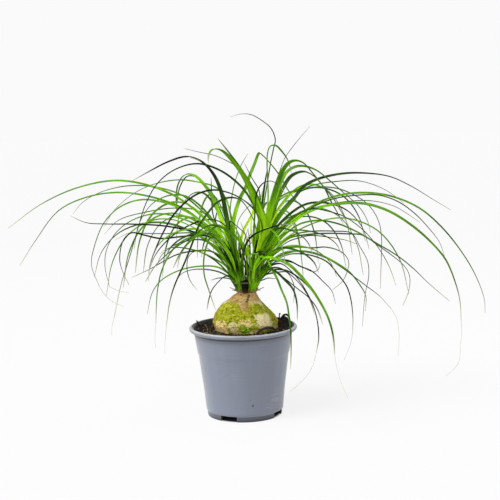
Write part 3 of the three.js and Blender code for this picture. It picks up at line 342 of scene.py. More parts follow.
# A blade turns about its length near its foot and at its crest, in degrees. Its channel is as deep as a
# share of its half width.
BLADE = {
    "narrow": {"taper": 0.42, "foot_turn": 48, "crest_turn": 38, "channel": 0.5},
    "broad_from": 5,
    "broad": {"taper": 0.5, "foot_turn": 85, "crest_turn": 12, "channel": 0.35},
}


# ---------------------------------------------------------------- settings that a user would change

def colour_setting(name, description, colour):
    return FloatVectorProperty(name=name, description=description, subtype="COLOR", size=4, min=0, max=1,
                               default=linear(colour))


def length_setting(name, description, millimetres):
    return FloatProperty(name=name, description=description, unit="LENGTH", default=millimetres * MM,
                         min=0)


class PotSettings(bpy.types.PropertyGroup):
    colour: colour_setting("Plastic", "Colour of the pot's plastic", 0x737988)
    dirt: colour_setting("Dirt", "Colour of the soil that clings to the rim and foot", 0x6F604B)
    steps: IntProperty(name="Steps", description="Faces round the pot", default=128, min=24)


class SoilSettings(bpy.types.PropertyGroup):
    colour: colour_setting("Soil", "Colour of the damp potting soil", 0x211812)
    crumbs: IntProperty(name="Crumbs", description="Loose crumbs on the soil", default=520, min=0)
    crumb_size: length_setting("Crumb size", "Size of the largest crumbs", 2.1)
    seed: IntProperty(name="Seed", description="Draws another scatter of crumbs", default=11, min=1)


class StemBaseSettings(bpy.types.PropertyGroup):
    bark: colour_setting("Bark", "Colour of the clean corky bark", 0xEAD698)
    algae: colour_setting("Algae", "Colour of the green film on the bark", 0xBEC214)
    relief: length_setting("Relief", "Height of the bark's lumps", 0.55)
    steps: IntProperty(name="Steps", description="Faces round the stem base", default=160, min=24)


class DeadStemSettings(bpy.types.PropertyGroup):
    wood: colour_setting("Dead wood", "Colour of the dead first stem", 0x130E0B)
    dry_leaf: colour_setting("Dry leaf", "Colour of the dry leaf bases", 0xAD9A60)
    paper: length_setting("Thickness", "Thickness of a dry leaf base", 0.6)


class LeafSettings(bpy.types.PropertyGroup):
    thickness: length_setting("Thickness", "Thickness of a leaf", 0.5)
    fresh: colour_setting("Fresh", "Colour of the youngest leaves", 0xC2E81E)
    deep: colour_setting("Deep", "Colour of the darkest leaves", 0x040A03)
    seed: IntProperty(name="Seed", description="Draws other leaves on the unseen sides", default=7)


class StageSettings(bpy.types.PropertyGroup):
    floor: colour_setting("Floor", "Colour of the floor", 0xFAFAFA)
    distance: FloatProperty(name="Camera distance", description="From the camera to the pot",
                            unit="LENGTH", default=EYE["distance"] * MM)
    lens: FloatProperty(name="Focal length", description="Of the camera, on a 36 mm sensor",
                        unit="CAMERA", default=90.94)


# ---------------------------------------------------------------- meshes

def placed(name, bm):
    """The finished mesh as an object in the scene."""
    mesh = bpy.data.meshes.new(name)
    bm.to_mesh(mesh)
    bm.free()
    made = bpy.data.objects.new(name, mesh)
    bpy.context.scene.collection.objects.link(made)
    return made


def piece(name, bm, material, slot, *nodes, sharp=40):
    """The finished mesh as a piece that rides on the pot and stands for the given nodes."""
    made = placed(name, bm)
    made.data.shade_smooth()
    made.data.set_sharp_from_angle(angle=math.radians(sharp))
    made.data.materials.append(material)
    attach(made, "root")
    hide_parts(*nodes)
    return made


def spun(bm, profile, steps):
    """Turns a section of [radius, height] points a full round about the upright axis."""
    points = [bm.verts.new((radius * MM, 0, height * MM)) for radius, height in profile]
    edges = [bm.edges.new(pair) for pair in zip(points, points[1:])]
    bmesh.ops.spin(bm, geom=points + edges, cent=(0, 0, 0), axis=UP, angle=2 * math.pi, steps=steps,
                   use_merge=True)
    bmesh.ops.remove_doubles(bm, verts=bm.verts, dist=1e-6)
    bmesh.ops.recalc_face_normals(bm, faces=bm.faces)


def orbit(centre, radius, angle, height):
    """A point at a radius and angle round an upright axis that stands to the right by centre."""
    return Vector((centre + radius * math.cos(angle), radius * math.sin(angle), height))


def between(rows, height, column=-1, at=0):
    """The value of a table's column at a height, along straight lines between its rows."""
    for low, high in zip(rows, rows[1:]):
        if height <= high[at]:
            share = max(0.0, (height - low[at]) / (high[at] - low[at]))
            return low[column] + (high[column] - low[column]) * share
    return rows[-1][column]


def curve_at(points, share):
    """Place and direction on a smooth curve through points, at a share of its spans."""
    span = share * (len(points) - 1)
    i = min(int(span), len(points) - 2)
    w = span - i
    b, c = points[i], points[i + 1]
    a = points[i - 1] if i else 2 * b - c
    d = points[i + 2] if i + 2 < len(points) else 2 * c - b
    ab, bc, cd = [max((q - p).length, 1e-6) ** 0.5 for p, q in ((a, b), (b, c), (c, d))]
    start = ((b - a) / ab - (c - a) / (ab + bc) + (c - b) / bc) * bc
    end = ((c - b) / bc - (d - b) / (bc + cd) + (d - c) / cd) * bc
    square, cube = -3 * b + 3 * c - 2 * start - end, 2 * b - 2 * c + start + end
    place = b + start * w + square * w * w + cube * w ** 3
    return place, (start + 2 * square * w + 3 * cube * w * w).normalized()


def running_lengths(points):
    """The way along the points to each of them."""
    along = [0.0]
    for p, q in zip(points, points[1:]):
        along.append(along[-1] + (q - p).length)
    return along


def strips_mesh():
    """An empty mesh with what the strips' material reads: a UV map in centimetres, and two values."""
    bm = bmesh.new()
    bm.loops.layers.uv.new("strip")
    bm.verts.layers.float.new("shade")
    bm.verts.layers.float.new("along")
    return bm


def add_strip(bm, cells, place, size, shade, closed=False, start=0.0):
    """A grid of cells (across, along), bent by place(u, v), with u from -1 to 1 and v from 0 to 1.
    Size is its width and length in millimetres. A closed strip is a tube, shut at both ends. Start is the
    share of its leaf at which it begins."""
    layer = bm.loops.layers.uv["strip"]
    shades, shares = bm.verts.layers.float["shade"], bm.verts.layers.float["along"]
    shift = len(bm.faces) * 0.0137
    made = bmesh.ops.create_grid(bm, x_segments=cells[0], y_segments=cells[1], size=1.0)["verts"]
    flat = {vert: (vert.co.x, (vert.co.y + 1) / 2) for vert in made}
    for face in {face for vert in made for face in vert.link_faces}:
        for loop in face.loops:
            u, v = flat[loop.vert]
            loop[layer].uv = (shift + u * size[0] / 20, v * size[1] / 10)
    for vert, (u, v) in flat.items():
        vert.co = place(u, v) * MM
        vert[shades], vert[shares] = shade, start + (1 - start) * v
    if closed:
        bmesh.ops.remove_doubles(bm, verts=made, dist=1e-7)
        made = [vert for vert in made if vert.is_valid]
        rims = {edge for vert in made for edge in vert.link_edges if edge.is_boundary}
        bmesh.ops.holes_fill(bm, edges=list(rims), sides=0)
        faces = {face for vert in made for face in vert.link_faces}
        bmesh.ops.recalc_face_normals(bm, faces=list(faces))


def add_tube(bm, points, radii, shade, sides=8, rings=12, rough=0.0):
    """A round twig along points, with a radius at each."""
    curve = [Vector(p) for p in points]
    heading = (curve[-1] - curve[0]).normalized()
    base = heading.orthogonal().normalized()

    def place(u, v):
        at, ahead = curve_at(curve, v)
        across = (base - ahead * base.dot(ahead)).normalized()
        side = ahead.cross(across)
        radius = between([[k / (len(radii) - 1), r] for k, r in enumerate(radii)], v)
        angle = math.pi * u
        radius *= 1 + rough * noise.noise(at * 0.9 + across * math.cos(angle) + side * math.sin(angle))
        return at + (across * math.cos(angle) + side * math.sin(angle)) * radius
    length = running_lengths(curve)[-1]
    add_strip(bm, (sides, rings), place, (6 * max(radii), length), shade, closed=True)


# ---------------------------------------------------------------- materials

def add_node(tree, kind, *inputs, stops=(), out=None, **named):
    """One output of a new shader node. Its inputs, in the order of the sockets that are live, are values or
    the outputs that feed them. A name with a capital is another socket, and a small one is a setting."""
    made = tree.nodes.new("ShaderNode" + kind)
    for name, value in named.items():
        if name.islower():
            setattr(made, name, value)
    feeds = list(zip([socket for socket in made.inputs if socket.enabled], inputs))
    feeds += [(made.inputs[name], value) for name, value in named.items() if not name.islower()]
    for socket, value in feeds:
        if isinstance(value, bpy.types.NodeSocket):
            tree.links.new(value, socket)
        else:
            socket.default_value = value
    for i, (position, colour) in enumerate(stops):
        ramp = made.color_ramp.elements
        stop = ramp[i] if i < 2 else ramp.new(position)
        stop.position = position
        stop.color = colour if isinstance(colour, tuple) else linear(colour)
    return made.outputs[out] if out else next(socket for socket in made.outputs if socket.enabled)


def new_material(name, constants):
    """A material whose shader has these constants, what adds its nodes, and its object coordinates."""
    material = bpy.data.materials.new(name)
    material.use_nodes = True
    shader = material.node_tree.nodes["Principled BSDF"]
    for socket, value in constants.items():
        shader.inputs[socket].default_value = value
    add = functools.partial(add_node, material.node_tree)
    return material, add, add("TexCoord", out="Object")


def finished(material, feeds):
    """The material, with these outputs feeding its shader."""
    shader = material.node_tree.nodes["Principled BSDF"]
    for socket, output in feeds.items():
        material.node_tree.links.new(output, shader.inputs[socket])
    return material


def shaded(colour, share):
    """A colour setting at a share of its brightness."""
    return tuple(min(1.0, c * share) for c in colour[:3]) + (1.0,)


def around(add, place, middle, start, end, least=0.0, most=1.0):
    """Goes from least to most between two distances from a point, in millimetres."""
    away = add("VectorMath", place, Vector(middle) * MM, operation="DISTANCE")
    return add("MapRange", away, start * MM, end * MM, least, most)


def pot_plastic(settings):
    """Moulded polypropylene: a satin grey-blue skin with faint upright flow streaks, small scuffs, and
    soil dust caught on the rim and round the foot, with painted shadow under the rim and inside the wall
    and a painted highlight on the rim's crown."""
    material, add, place = new_material("Moulded polypropylene", {
        "IOR": 1.49, "Sheen Weight": 0.35, "Sheen Roughness": 0.4})
    height = add("SeparateXYZ", place, out="Z")
    # flow streaks, some 5 mm apart and as tall as the pot
    upright = add("Mapping", place, Scale=(1, 1, 0.05))
    streaks = add("TexNoise", upright, Scale=1 / 0.009, Detail=4.0)
    cloud = add("TexNoise", place, Scale=1 / 0.03, Detail=3.0)
    # spark-eroded mould grain, really 0.2 mm and drawn at 0.8 mm so that it shows
    grain = add("TexNoise", place, Scale=1 / 0.0008, Detail=2.0)
    # dust specks and scuffs, 1 to 3 mm
    specks = add("TexNoise", place, Scale=1 / 0.0035, Detail=5.0, Roughness=0.7)
    deep, pale = shaded(settings.colour, 0.94), shaded(settings.colour, 1.07)
    tint = add("ValToRGB", streaks, stops=[(0.3, deep), (0.7, pale)])
    tint = add("Mix", cloud, tint, tuple(settings.colour), data_type="RGBA")
    # painted highlight on the rim's crown, broken up by scuffs, and painted shadow under the rim: a dark
    # line and a softer band below it
    highlight_breakup = add("MapRange", specks, 0.35, 0.6, 0.45, 0.95)
    below = add("Math", height, 0.0957, operation="LESS_THAN")
    for low, high, paint, most, part in RIM_SHADOW_AND_HIGHLIGHT:
        line = add("MapRange", height, low * MM, high * MM, 0.0, most)
        line = add("Math", line, {"below": below, "crown": highlight_breakup}[part], operation="MULTIPLY")
        tint = add("Mix", line, tint, linear(paint), data_type="RGBA")
    # scratches along the wall, low on its right
    level = add("Mapping", place, Scale=(1, 1, 14))
    scratch = add("TexNoise", level, Scale=1 / 0.011, Detail=4.0)
    scratch = add("MapRange", scratch, 0.56, 0.6)
    for middle, size, paint, most in POT_MARKS:
        mark = around(add, place, middle, size, size * 0.5, most=most)
        if size > 5:
            mark = add("Math", mark, scratch, operation="MULTIPLY")
        tint = add("Mix", mark, tint, linear(paint), data_type="RGBA")
    # soil stains and painted shade darken the inside of the wall, which lies within r = 41.6 + 0.07 z
    # + 0.0007 z² millimetres, and the painted shade reaches over the rim's inner lip
    across = add("Mapping", place, Scale=(1, 1, 0))
    radius = add("VectorMath", across, operation="LENGTH")
    inner = add("Math", height, 0.7, 0.07, operation="MULTIPLY_ADD")
    inner = add("Math", inner, height, 0.0416, operation="MULTIPLY_ADD")
    lip = add("MapRange", height, 0.0945, 0.0975, 0.0, 0.0017)
    inner = add("Math", inner, lip, operation="ADD")
    inner = add("Math", inner, radius, operation="SUBTRACT")
    inner = add("MapRange", inner, 0.0, 0.0003, 0.0, 0.97)
    tint = add("Mix", inner, tint, linear(0x0D0B09), data_type="RGBA")
    # dust lies on the rim and round the foot
    on_rim = add("MapRange", height, 0.088, 0.0995, 0.04, 0.38)
    on_foot = add("MapRange", height, 0.012, 0.0, 0.0, 0.2)
    where = add("Math", on_rim, on_foot, operation="ADD")
    dust = add("Math", specks, cloud, operation="MULTIPLY")
    dust = add("MapRange", dust, 0.2, 0.36)
    dirt = add("Math", dust, where, operation="MULTIPLY", use_clamp=True)
    # dust stays off the inside, which is soil stain and painted shade
    outside_inner = add("Math", 1.0, inner, operation="SUBTRACT")
    dirt = add("Math", dirt, outside_inner, operation="MULTIPLY")
    colour = add("Mix", dirt, tint, tuple(settings.dirt), data_type="RGBA")
    gloss = add("MapRange", specks, 0.3, 0.7, 0.34, 0.5)
    gloss = add("Math", gloss, dirt, operation="ADD")
    gloss = add("Math", gloss, inner, operation="ADD", use_clamp=True)
    relief = add("Math", specks, grain, operation="ADD")
    bump = add("Bump", Strength=0.15, Distance=0.0002, Height=relief)
    return finished(material, {"Base Color": colour, "Roughness": gloss, "Normal": bump})


# Painted shadow under the rim and a painted highlight on its crown, as bands that deepen upwards:
# [from, to, colour, most, part of the rim].
RIM_SHADOW_AND_HIGHLIGHT = [
    [87.5, 93.4, 0x3C4045, 0.5, "below"],
    [92.5, 93.6, 0x101214, 0.95, "below"],
    [98.2, 99.4, 0xC3C9C3, 0.75, "crown"],
]
# Spots on the pot, of which the large ones are scratched: [middle, radius, colour, most].
POT_MARKS = [
    [(9.1, -43.8, 19), 1.6, 0x101214, 1.0],
    [(6.5, -44, 26), 1.0, 0x54595F, 0.6],
    [(33, -30, 22), 17, 0xA9AEB6, 0.35],
    [(-16, -42, 60), 20, 0x9BA1AA, 0.2],
    [(24, -44, 88), 14, 0x5A5E64, 0.4],
]


def potting_soil(settings):
    """Damp peat: almost black, matt and crumbly, with paler bark, grit and fibre bits, and painted shadow
    along the wall.
    """
    material, add, place = new_material("Damp peat", {"IOR": 1.4, "Specular IOR Level": 0.3})
    shade = add("Attribute", attribute_name="shade", out="Fac")
    lumps = add("TexNoise", place, Scale=1 / 0.004, Detail=6.0, Roughness=0.65)
    fine = add("TexNoise", place, Scale=1 / 0.001, Detail=3.0)
    dark, base = shaded(settings.colour, 0.35), tuple(settings.colour)
    peat = add("ValToRGB", lumps, stops=[(0.35, dark), (0.7, base)])
    bits = add("ValToRGB", shade, stops=[(0.0, 0x1C1510), (0.35, 0x3C2B1D), (0.7, 0x7A5B3B),
                                         (1.0, 0xC7AD86)])
    bits = add("Mix", fine, bits, peat, data_type="RGBA")
    is_bit = add("Math", shade, 0.02, operation="GREATER_THAN")
    colour = add("Mix", is_bit, peat, bits, data_type="RGBA")
    # painted shadow: the soil darkens along the wall, which shades it, and the pale bits stay clear of it
    wall_shadow = around(add, place, (0, 0, 100), 42, 49, most=0.75)
    free = add("MapRange", shade, 0.9, 0.5)
    wall_shadow = add("Math", wall_shadow, free, operation="MULTIPLY")
    colour = add("Mix", wall_shadow, colour, linear(0x0D0A08), data_type="RGBA")
    damp = add("MapRange", lumps, 0.35, 0.6, 0.7, 0.95)
    relief = add("Math", lumps, fine, operation="ADD")
    bump = add("Bump", Strength=0.8, Distance=0.0012, Height=relief)
    return finished(material, {"Base Color": colour, "Roughness": damp, "Normal": bump})


def corky_bark(settings):
    """Cork bark of a swollen stem: tan and finely wrinkled at the neck, and below it a flaking crust of
    yellow-green algae over cream cork, with brown scars and moss near the soil."""
    material, add, place = new_material("Corky bark", {"IOR": 1.45, "Specular IOR Level": 0.1})
    height = add("SeparateXYZ", place, out="Z")
    cloud = add("TexNoise", place, Scale=1 / 0.018, Detail=4.0, Distortion=0.5)
    # flakes of the crust, 2 to 4 mm long and flattened
    flat = add("Mapping", place, Scale=(1, 1, 1.5))
    flakes = add("TexNoise", flat, Scale=1 / 0.0042, Detail=5.0, Roughness=0.75, Distortion=0.8)
    fine = add("TexNoise", flat, Scale=1 / 0.0011, Detail=3.0)
    bark, green = tuple(settings.bark), tuple(settings.algae)
    paints = {
        "cork": [(0.31, 0x6A4418), (0.37, 0xB88E4A), (0.43, bark), (0.53, 0xFBEFC2)],
        "crust": [(0.31, 0x4A3A08), (0.38, 0x777C06), (0.45, 0x98A208), (0.57, green), (0.68, 0xD8D050)],
        **BARK_PAINTS,
    }
    kinds = {kind: add("ValToRGB", flakes, stops=stops) for kind, stops in paints.items()}
    # where the crust grows: over most of the swelling, thin near the neck
    film = add("MapRange", height, 0.136, 0.123, -0.2, 0.16)
    film = add("Math", film, cloud, operation="ADD")
    film = add("MapRange", film, 0.47, 0.56)
    colour = add("Mix", film, kinds["cork"], kinds["crust"], data_type="RGBA")
    ragged = add("MapRange", flakes, 0.4, 0.6, -0.35, 0.35)
    for middle, size, kind, most in BARK_PATCHES:
        patch = around(add, place, middle, size * 1.15, size * 0.6)
        patch = add("Math", patch, ragged, operation="ADD")
        patch = add("MapRange", patch, 0.4, 0.6, 0.0, most)
        colour = add("Mix", patch, colour, kinds[kind], data_type="RGBA")
    neck = add("MapRange", height, 0.126, 0.1305)
    neck = add("Math", neck, ragged, operation="ADD", use_clamp=True)
    colour = add("Mix", neck, colour, kinds["skin"], data_type="RGBA")
    for middle, size in NECK_SCAR:
        scar = around(add, place, middle, size * 1.5, size * 0.7, most=0.85)
        colour = add("Mix", scar, colour, linear(0x3A2A18), data_type="RGBA")
    # cracks of the cork: a web some 4 mm wide, flattened into the neck's wrinkles
    low = add("Mapping", place, Scale=(1, 1, 2.1))
    wobble = add("Mix", 0.006, low, flakes, data_type="RGBA")
    web = add("TexVoronoi", wobble, Scale=1 / 0.0046, feature="DISTANCE_TO_EDGE")
    cracks = add("MapRange", web, 0.07, 0.0, 0.0, 1.1)
    cracks = add("Math", cracks, cloud, operation="MULTIPLY", use_clamp=True)
    shallow = add("MapRange", height, 0.12, 0.129, 1.0, 0.45)
    cracks = add("Math", cracks, shallow, operation="MULTIPLY")
    # the pale cork at the right is smooth
    rough = around(add, place, (24, -25, 109), 9, 15, least=0.3)
    cracks = add("Math", cracks, rough, operation="MULTIPLY")
    colour = add("Mix", cracks, colour, linear(0x3F2E1B), data_type="RGBA")
    dull = add("MapRange", flakes, 0.3, 0.7, 0.62, 0.88)
    relief = add("Math", cracks, -1.2, operation="MULTIPLY")
    relief = add("Math", flakes, 2.2, relief, operation="MULTIPLY_ADD")
    relief = add("Math", fine, 0.5, relief, operation="MULTIPLY_ADD")
    bump = add("Bump", Strength=0.9, Distance=0.0011, Height=relief)
    return finished(material, {"Base Color": colour, "Roughness": dull, "Normal": bump})


# Colours of the bark's kinds of surface, from the bottoms of its flakes to their tops.
BARK_PAINTS = {
    "skin": [(0.32, 0x5E3814), (0.41, 0xA47438), (0.5, 0xC49C5A), (0.62, 0xE2C68A)],
    "rust": [(0.32, 0x6A3410), (0.38, 0xC07A2C), (0.44, 0xF0BC58), (0.53, 0xFFE8A8)],
    "moss": [(0.34, 0x2A3806), (0.43, 0x5A8408), (0.52, 0x8CB810), (0.6, 0xD8DC50)],
    "olive": [(0.34, 0x503A0C), (0.45, 0xAC8E2C), (0.57, 0xDCBE54)],
}
# Patches on the bark's front: [middle, radius, what it is, most].
BARK_PATCHES = [
    [(2, -22, 124.5), 6.5, "skin", 0.9],
    [(-17, -25, 115.5), 16, "crust", 0.95],
    [(23, -25, 109), 13, "cork", 0.95],
    [(19, -19, 120), 7, "crust", 0.9],
    [(-25, -25, 99), 13, "rust", 0.97],
    [(-8, -34, 97), 8, "rust", 0.8],
    [(4, -35, 102), 9, "moss", 0.9],
    [(12, -34, 97), 6, "rust", 0.9],
    [(27, -25, 98), 6, "moss", 0.7],
    [(37, -4, 103), 10, "olive", 0.9],
    [(-32, -10, 105), 9, "olive", 0.8],
    [(6, -33, 108), 5, "rust", 0.85],
    [(-11, -34, 105), 6, "cork", 0.7],
    [(-2, -35, 110), 4, "rust", 0.6],
    [(-17, -14, 124), 7, "crust", 0.75],
]
# The dark crack that slants down the neck's front, as spots of [middle, radius].
NECK_SCAR = [[(7.4, -11, 135.4), 1.2], [(6.6, -12.5, 133.4), 1.3], [(5.8, -14.5, 131.4), 1.4],
             [(5, -16.5, 129.6), 1.2], [(-1.5, -9.5, 136), 1.1]]


def dead_wood(settings):
    """Weathered dead stem: almost black, dry and stringy, with two paler grey leaf scars round it."""
    material, add, place = new_material("Weathered dead stem", {
        "IOR": 1.4, "Specular IOR Level": 0.15, "Roughness": 0.85})
    height = add("SeparateXYZ", place, out="Z")
    # fibres, 0.9 mm apart and five times as long
    long = add("Mapping", place, Scale=(1, 1, 0.2))
    fibres = add("TexNoise", long, Scale=1 / 0.0009, Detail=4.0)
    dark, wood = shaded(settings.wood, 0.3), tuple(settings.wood)
    colour = add("ValToRGB", fibres, stops=[(0.3, dark), (0.68, wood)])
    for scar in STUMP["scars"]:
        away = add("Math", height, scar * MM, operation="SUBTRACT")
        away = add("Math", away, operation="ABSOLUTE")
        ring = add("MapRange", away, 0.0012, 0.0004, 0.0, 0.45)
        colour = add("Mix", ring, colour, linear(0x8C857A), data_type="RGBA")
    # the foot is damp, red-brown wood
    foot = add("MapRange", height, 0.1425, 0.138, 0.0, 0.8)
    colour = add("Mix", foot, colour, linear(0x4A2A14), data_type="RGBA")
    bump = add("Bump", Strength=0.8, Distance=0.0006, Height=fibres)
    return finished(material, {"Base Color": colour, "Normal": bump})


def dry_leaf(settings):
    """Dried leaf base: papery and matt, tan with darker parallel fibres and torn brown edges."""
    material, add, _ = new_material("Dried leaf", {
        "IOR": 1.4, "Specular IOR Level": 0.3, "Roughness": 0.8})
    strip = add("TexCoord", out="UV")
    along = add("Attribute", attribute_name="along", out="Fac")
    # parallel fibres, 0.7 mm apart
    lengthwise = add("Mapping", strip, Scale=(1, 0.12, 1))
    fibres = add("TexNoise", lengthwise, Scale=14.0, Detail=3.0)
    dark, base = shaded(settings.dry_leaf, 0.25), tuple(settings.dry_leaf)
    colour = add("ValToRGB", fibres, stops=[(0.3, dark), (0.65, base)])
    edge = add("MapRange", along, 0.45, 1.0, 0.0, 0.8)
    colour = add("Mix", edge, colour, linear(0x3B2A1A), data_type="RGBA")
    bump = add("Bump", Strength=0.7, Distance=0.0004, Height=fibres)
    return finished(material, {"Base Color": colour, "Normal": bump})


def fresh_leaf(settings):
    """Living strap leaf: a leathery green cuticle with parallel veins, paler where it leaves the stem and
    dried to straw at the last of its tip. Its tone also paints light and shade: leaves in shadow dark,
    lit ones bright, and light shining through yellow-green near the hearts."""
    material, add, place = new_material("Living leaf", {"IOR": 1.45, "Specular IOR Level": 0.1})
    strip = add("TexCoord", out="UV")
    shade = add("Attribute", attribute_name="shade", out="Fac")
    along = add("Attribute", attribute_name="along", out="Fac")
    # parallel veins, really 0.3 mm apart and drawn at 0.9 mm so that they show
    lengthwise = add("Mapping", strip, Scale=(1, 0.035, 1))
    veins = add("TexNoise", lengthwise, Scale=11.0, Detail=3.0, Roughness=0.6)
    tone = add("MapRange", veins, 0.25, 0.75, -0.2, 0.2)
    tone = add("Math", shade, 0.86, tone, operation="MULTIPLY_ADD")
    # slow changes of tone, some 30 mm long
    slow = add("TexNoise", strip, Scale=0.33, Detail=2.0)
    drift = add("MapRange", slow, 0.3, 0.7, -0.1, 0.1)
    tone = add("Math", tone, drift, operation="ADD")
    # a leaf is brighter at its foot and darkens over its outer part, partly younger tissue and partly
    # painted light and shade; a leaf of low shade brightens the most at its foot
    lower = add("MapRange", along, 0.42, 0.15)
    gain = add("MapRange", shade, 0.0, 0.7, 0.42, 0.07)
    outer = add("MapRange", along, 0.55, 0.95, 0.0, -0.2)
    fall = add("Math", lower, gain, outer, operation="MULTIPLY_ADD")
    tone = add("Math", tone, fall, operation="ADD", use_clamp=True)
    # near the hearts of the heads the tissue is younger and yellower, and painted light shines through it
    young_and_backlit = around(add, place, (14, -4, 208), 66, 12, most=0.5)
    tone = add("Math", young_and_backlit, shade, tone, operation="MULTIPLY_ADD", use_clamp=True)
    colour = add("ValToRGB", tone, stops=[(0.0, tuple(settings.deep)), (0.25, 0x284C02), (0.5, 0x568E02),
                                          (0.75, 0x8ACC06), (1.0, tuple(settings.fresh))])
    pale = add("MapRange", along, 0.09, 0.0, 0.0, 0.3)
    colour = add("Mix", pale, colour, linear(0xA9BE62), data_type="RGBA")
    # the hair at the tip dries to pale straw
    dried = add("MapRange", along, 0.84, 1.0, 0.0, 0.85)
    colour = add("Mix", dried, colour, linear(0xC2C3A4), data_type="RGBA")
    gloss = add("MapRange", veins, 0.3, 0.7, 0.4, 0.55)
    bump = add("Bump", Strength=0.4, Distance=0.0003, Height=veins)
    return finished(material, {"Base Color": colour, "Roughness": gloss, "Normal": bump})


def studio_floor(settings):
    """Matt white paper sweep with the faintest cloudiness, glowing as painted light, with a painted contact
    shadow under the pot's foot.
    """
    material, add, place = new_material("White studio paper", {
        "Roughness": 0.9, "Specular IOR Level": 0.0, "Emission Color": tuple(settings.floor)})
    cloud = add("TexNoise", place, Scale=1.5)
    lit, dull = shaded(settings.floor, 0.12), shaded(settings.floor, 0.117)
    colour = add("ValToRGB", cloud, stops=[(0.2, dull), (0.8, lit)])
    # painted light: the paper glows, a little less far off, and not under the pot's foot, which leaves a
    # painted contact shadow there
    free = around(add, place, (0, 0, 0), 38, 41.8)
    painted_glow = around(add, place, (0, 0, 0), 200, 1600, 0.87, 0.843)
    painted_glow = add("Math", painted_glow, free, operation="MULTIPLY")
    return finished(material, {"Base Color": colour, "Emission Strength": painted_glow})


# ---------------------------------------------------------------- the pot and its soil

def make_pot(settings):
    """The pot, turned from its section, with its openings cut."""
    bm = bmesh.new()
    ring, under = POT_FOOT["inner"], POT_FOOT["height"]
    section = [[0, POT_FLOOR], [20, POT_FLOOR], *POT_INSIDE[::-1], *POT_RIM[::-1], *POT_OUTSIDE[::-1],
               [40.9, 0], [38.9, 0], [ring, 0.3], [ring - 0.4, under], [20, under], [0, under]]
    spun(bm, section, settings.steps)
    pot = piece("nursery_pot", bm, pot_plastic(settings), "pot_plastic", "pot", sharp=POT_EDGE)
    cut(pot, pot_openings())


def pot_openings():
    """The slots through the foot ring and the drain holes, as one mesh of cutters."""
    bm = bmesh.new()
    half = math.radians(POT_NOTCH["angle"] / 2)
    near, far = POT_FOOT["inner"] - 3, 46
    for centre in POT_NOTCHES:
        corners = [bm.verts.new((r * math.sin(a) * MM, -r * math.cos(a) * MM, -MM))
                   for r, a in ((near, -half), (far, -half), (far, half), (near, half))]
        face = bm.faces.new(corners)
        up = bmesh.ops.extrude_face_region(bm, geom=[face])["geom"]
        up = [vert for vert in up if isinstance(vert, bmesh.types.BMVert)]
        bmesh.ops.translate(bm, verts=up, vec=(0, 0, (POT_NOTCH["height"] + 1) * MM))
        turn = Matrix.Rotation(math.radians(centre), 3, "Z")
        bmesh.ops.rotate(bm, verts=corners + up, cent=(0, 0, 0), matrix=turn)
    for i in range(POT_DRAINS["count"]):
        angle = 2 * math.pi * i / POT_DRAINS["count"]
        spot = orbit(0, POT_DRAINS["circle"], angle, POT_FLOOR - 0.2) * MM
        radius = POT_DRAINS["radius"] * MM
        bmesh.ops.create_cone(bm, cap_ends=True, segments=32, radius1=radius, radius2=radius,
                              depth=8 * MM, matrix=Matrix.Translation(spot))
    bmesh.ops.recalc_face_normals(bm, faces=bm.faces)
    return bm


def cut(made, cutters):
    """Takes the cutters out of a piece's mesh."""
    tool = placed("cutters", cutters)
    step = made.modifiers.new("openings", "BOOLEAN")
    step.operation, step.solver, step.object = "DIFFERENCE", "EXACT", tool
    graph = bpy.context.evaluated_depsgraph_get()
    done = bpy.data.meshes.new_from_object(made.evaluated_get(graph))
    made.modifiers.clear()
    done.name = made.name
    made.data = done
    bpy.data.objects.remove(tool)
    done.shade_smooth()
    done.set_sharp_from_angle(angle=math.radians(POT_EDGE))


def soil_height(x, y):
    """Height of the soil's surface at a place."""
    away = math.hypot(x - SOIL_HEAP["x"], y - SOIL_HEAP["y"]) / SOIL_HEAP["spread"]
    waves = math.sin(0.42 * x + 1.3) * math.cos(0.37 * y) + 0.7 * math.sin(0.9 * x - 0.8 * y)
    lumps = noise.fractal(Vector((x, y, 0)) * 0.3, 0.8, 2.0, 4)
    return SOIL_LEVEL + SOIL_HEAP["height"] * math.exp(-away * away) + 0.9 * waves + 1.1 * lumps


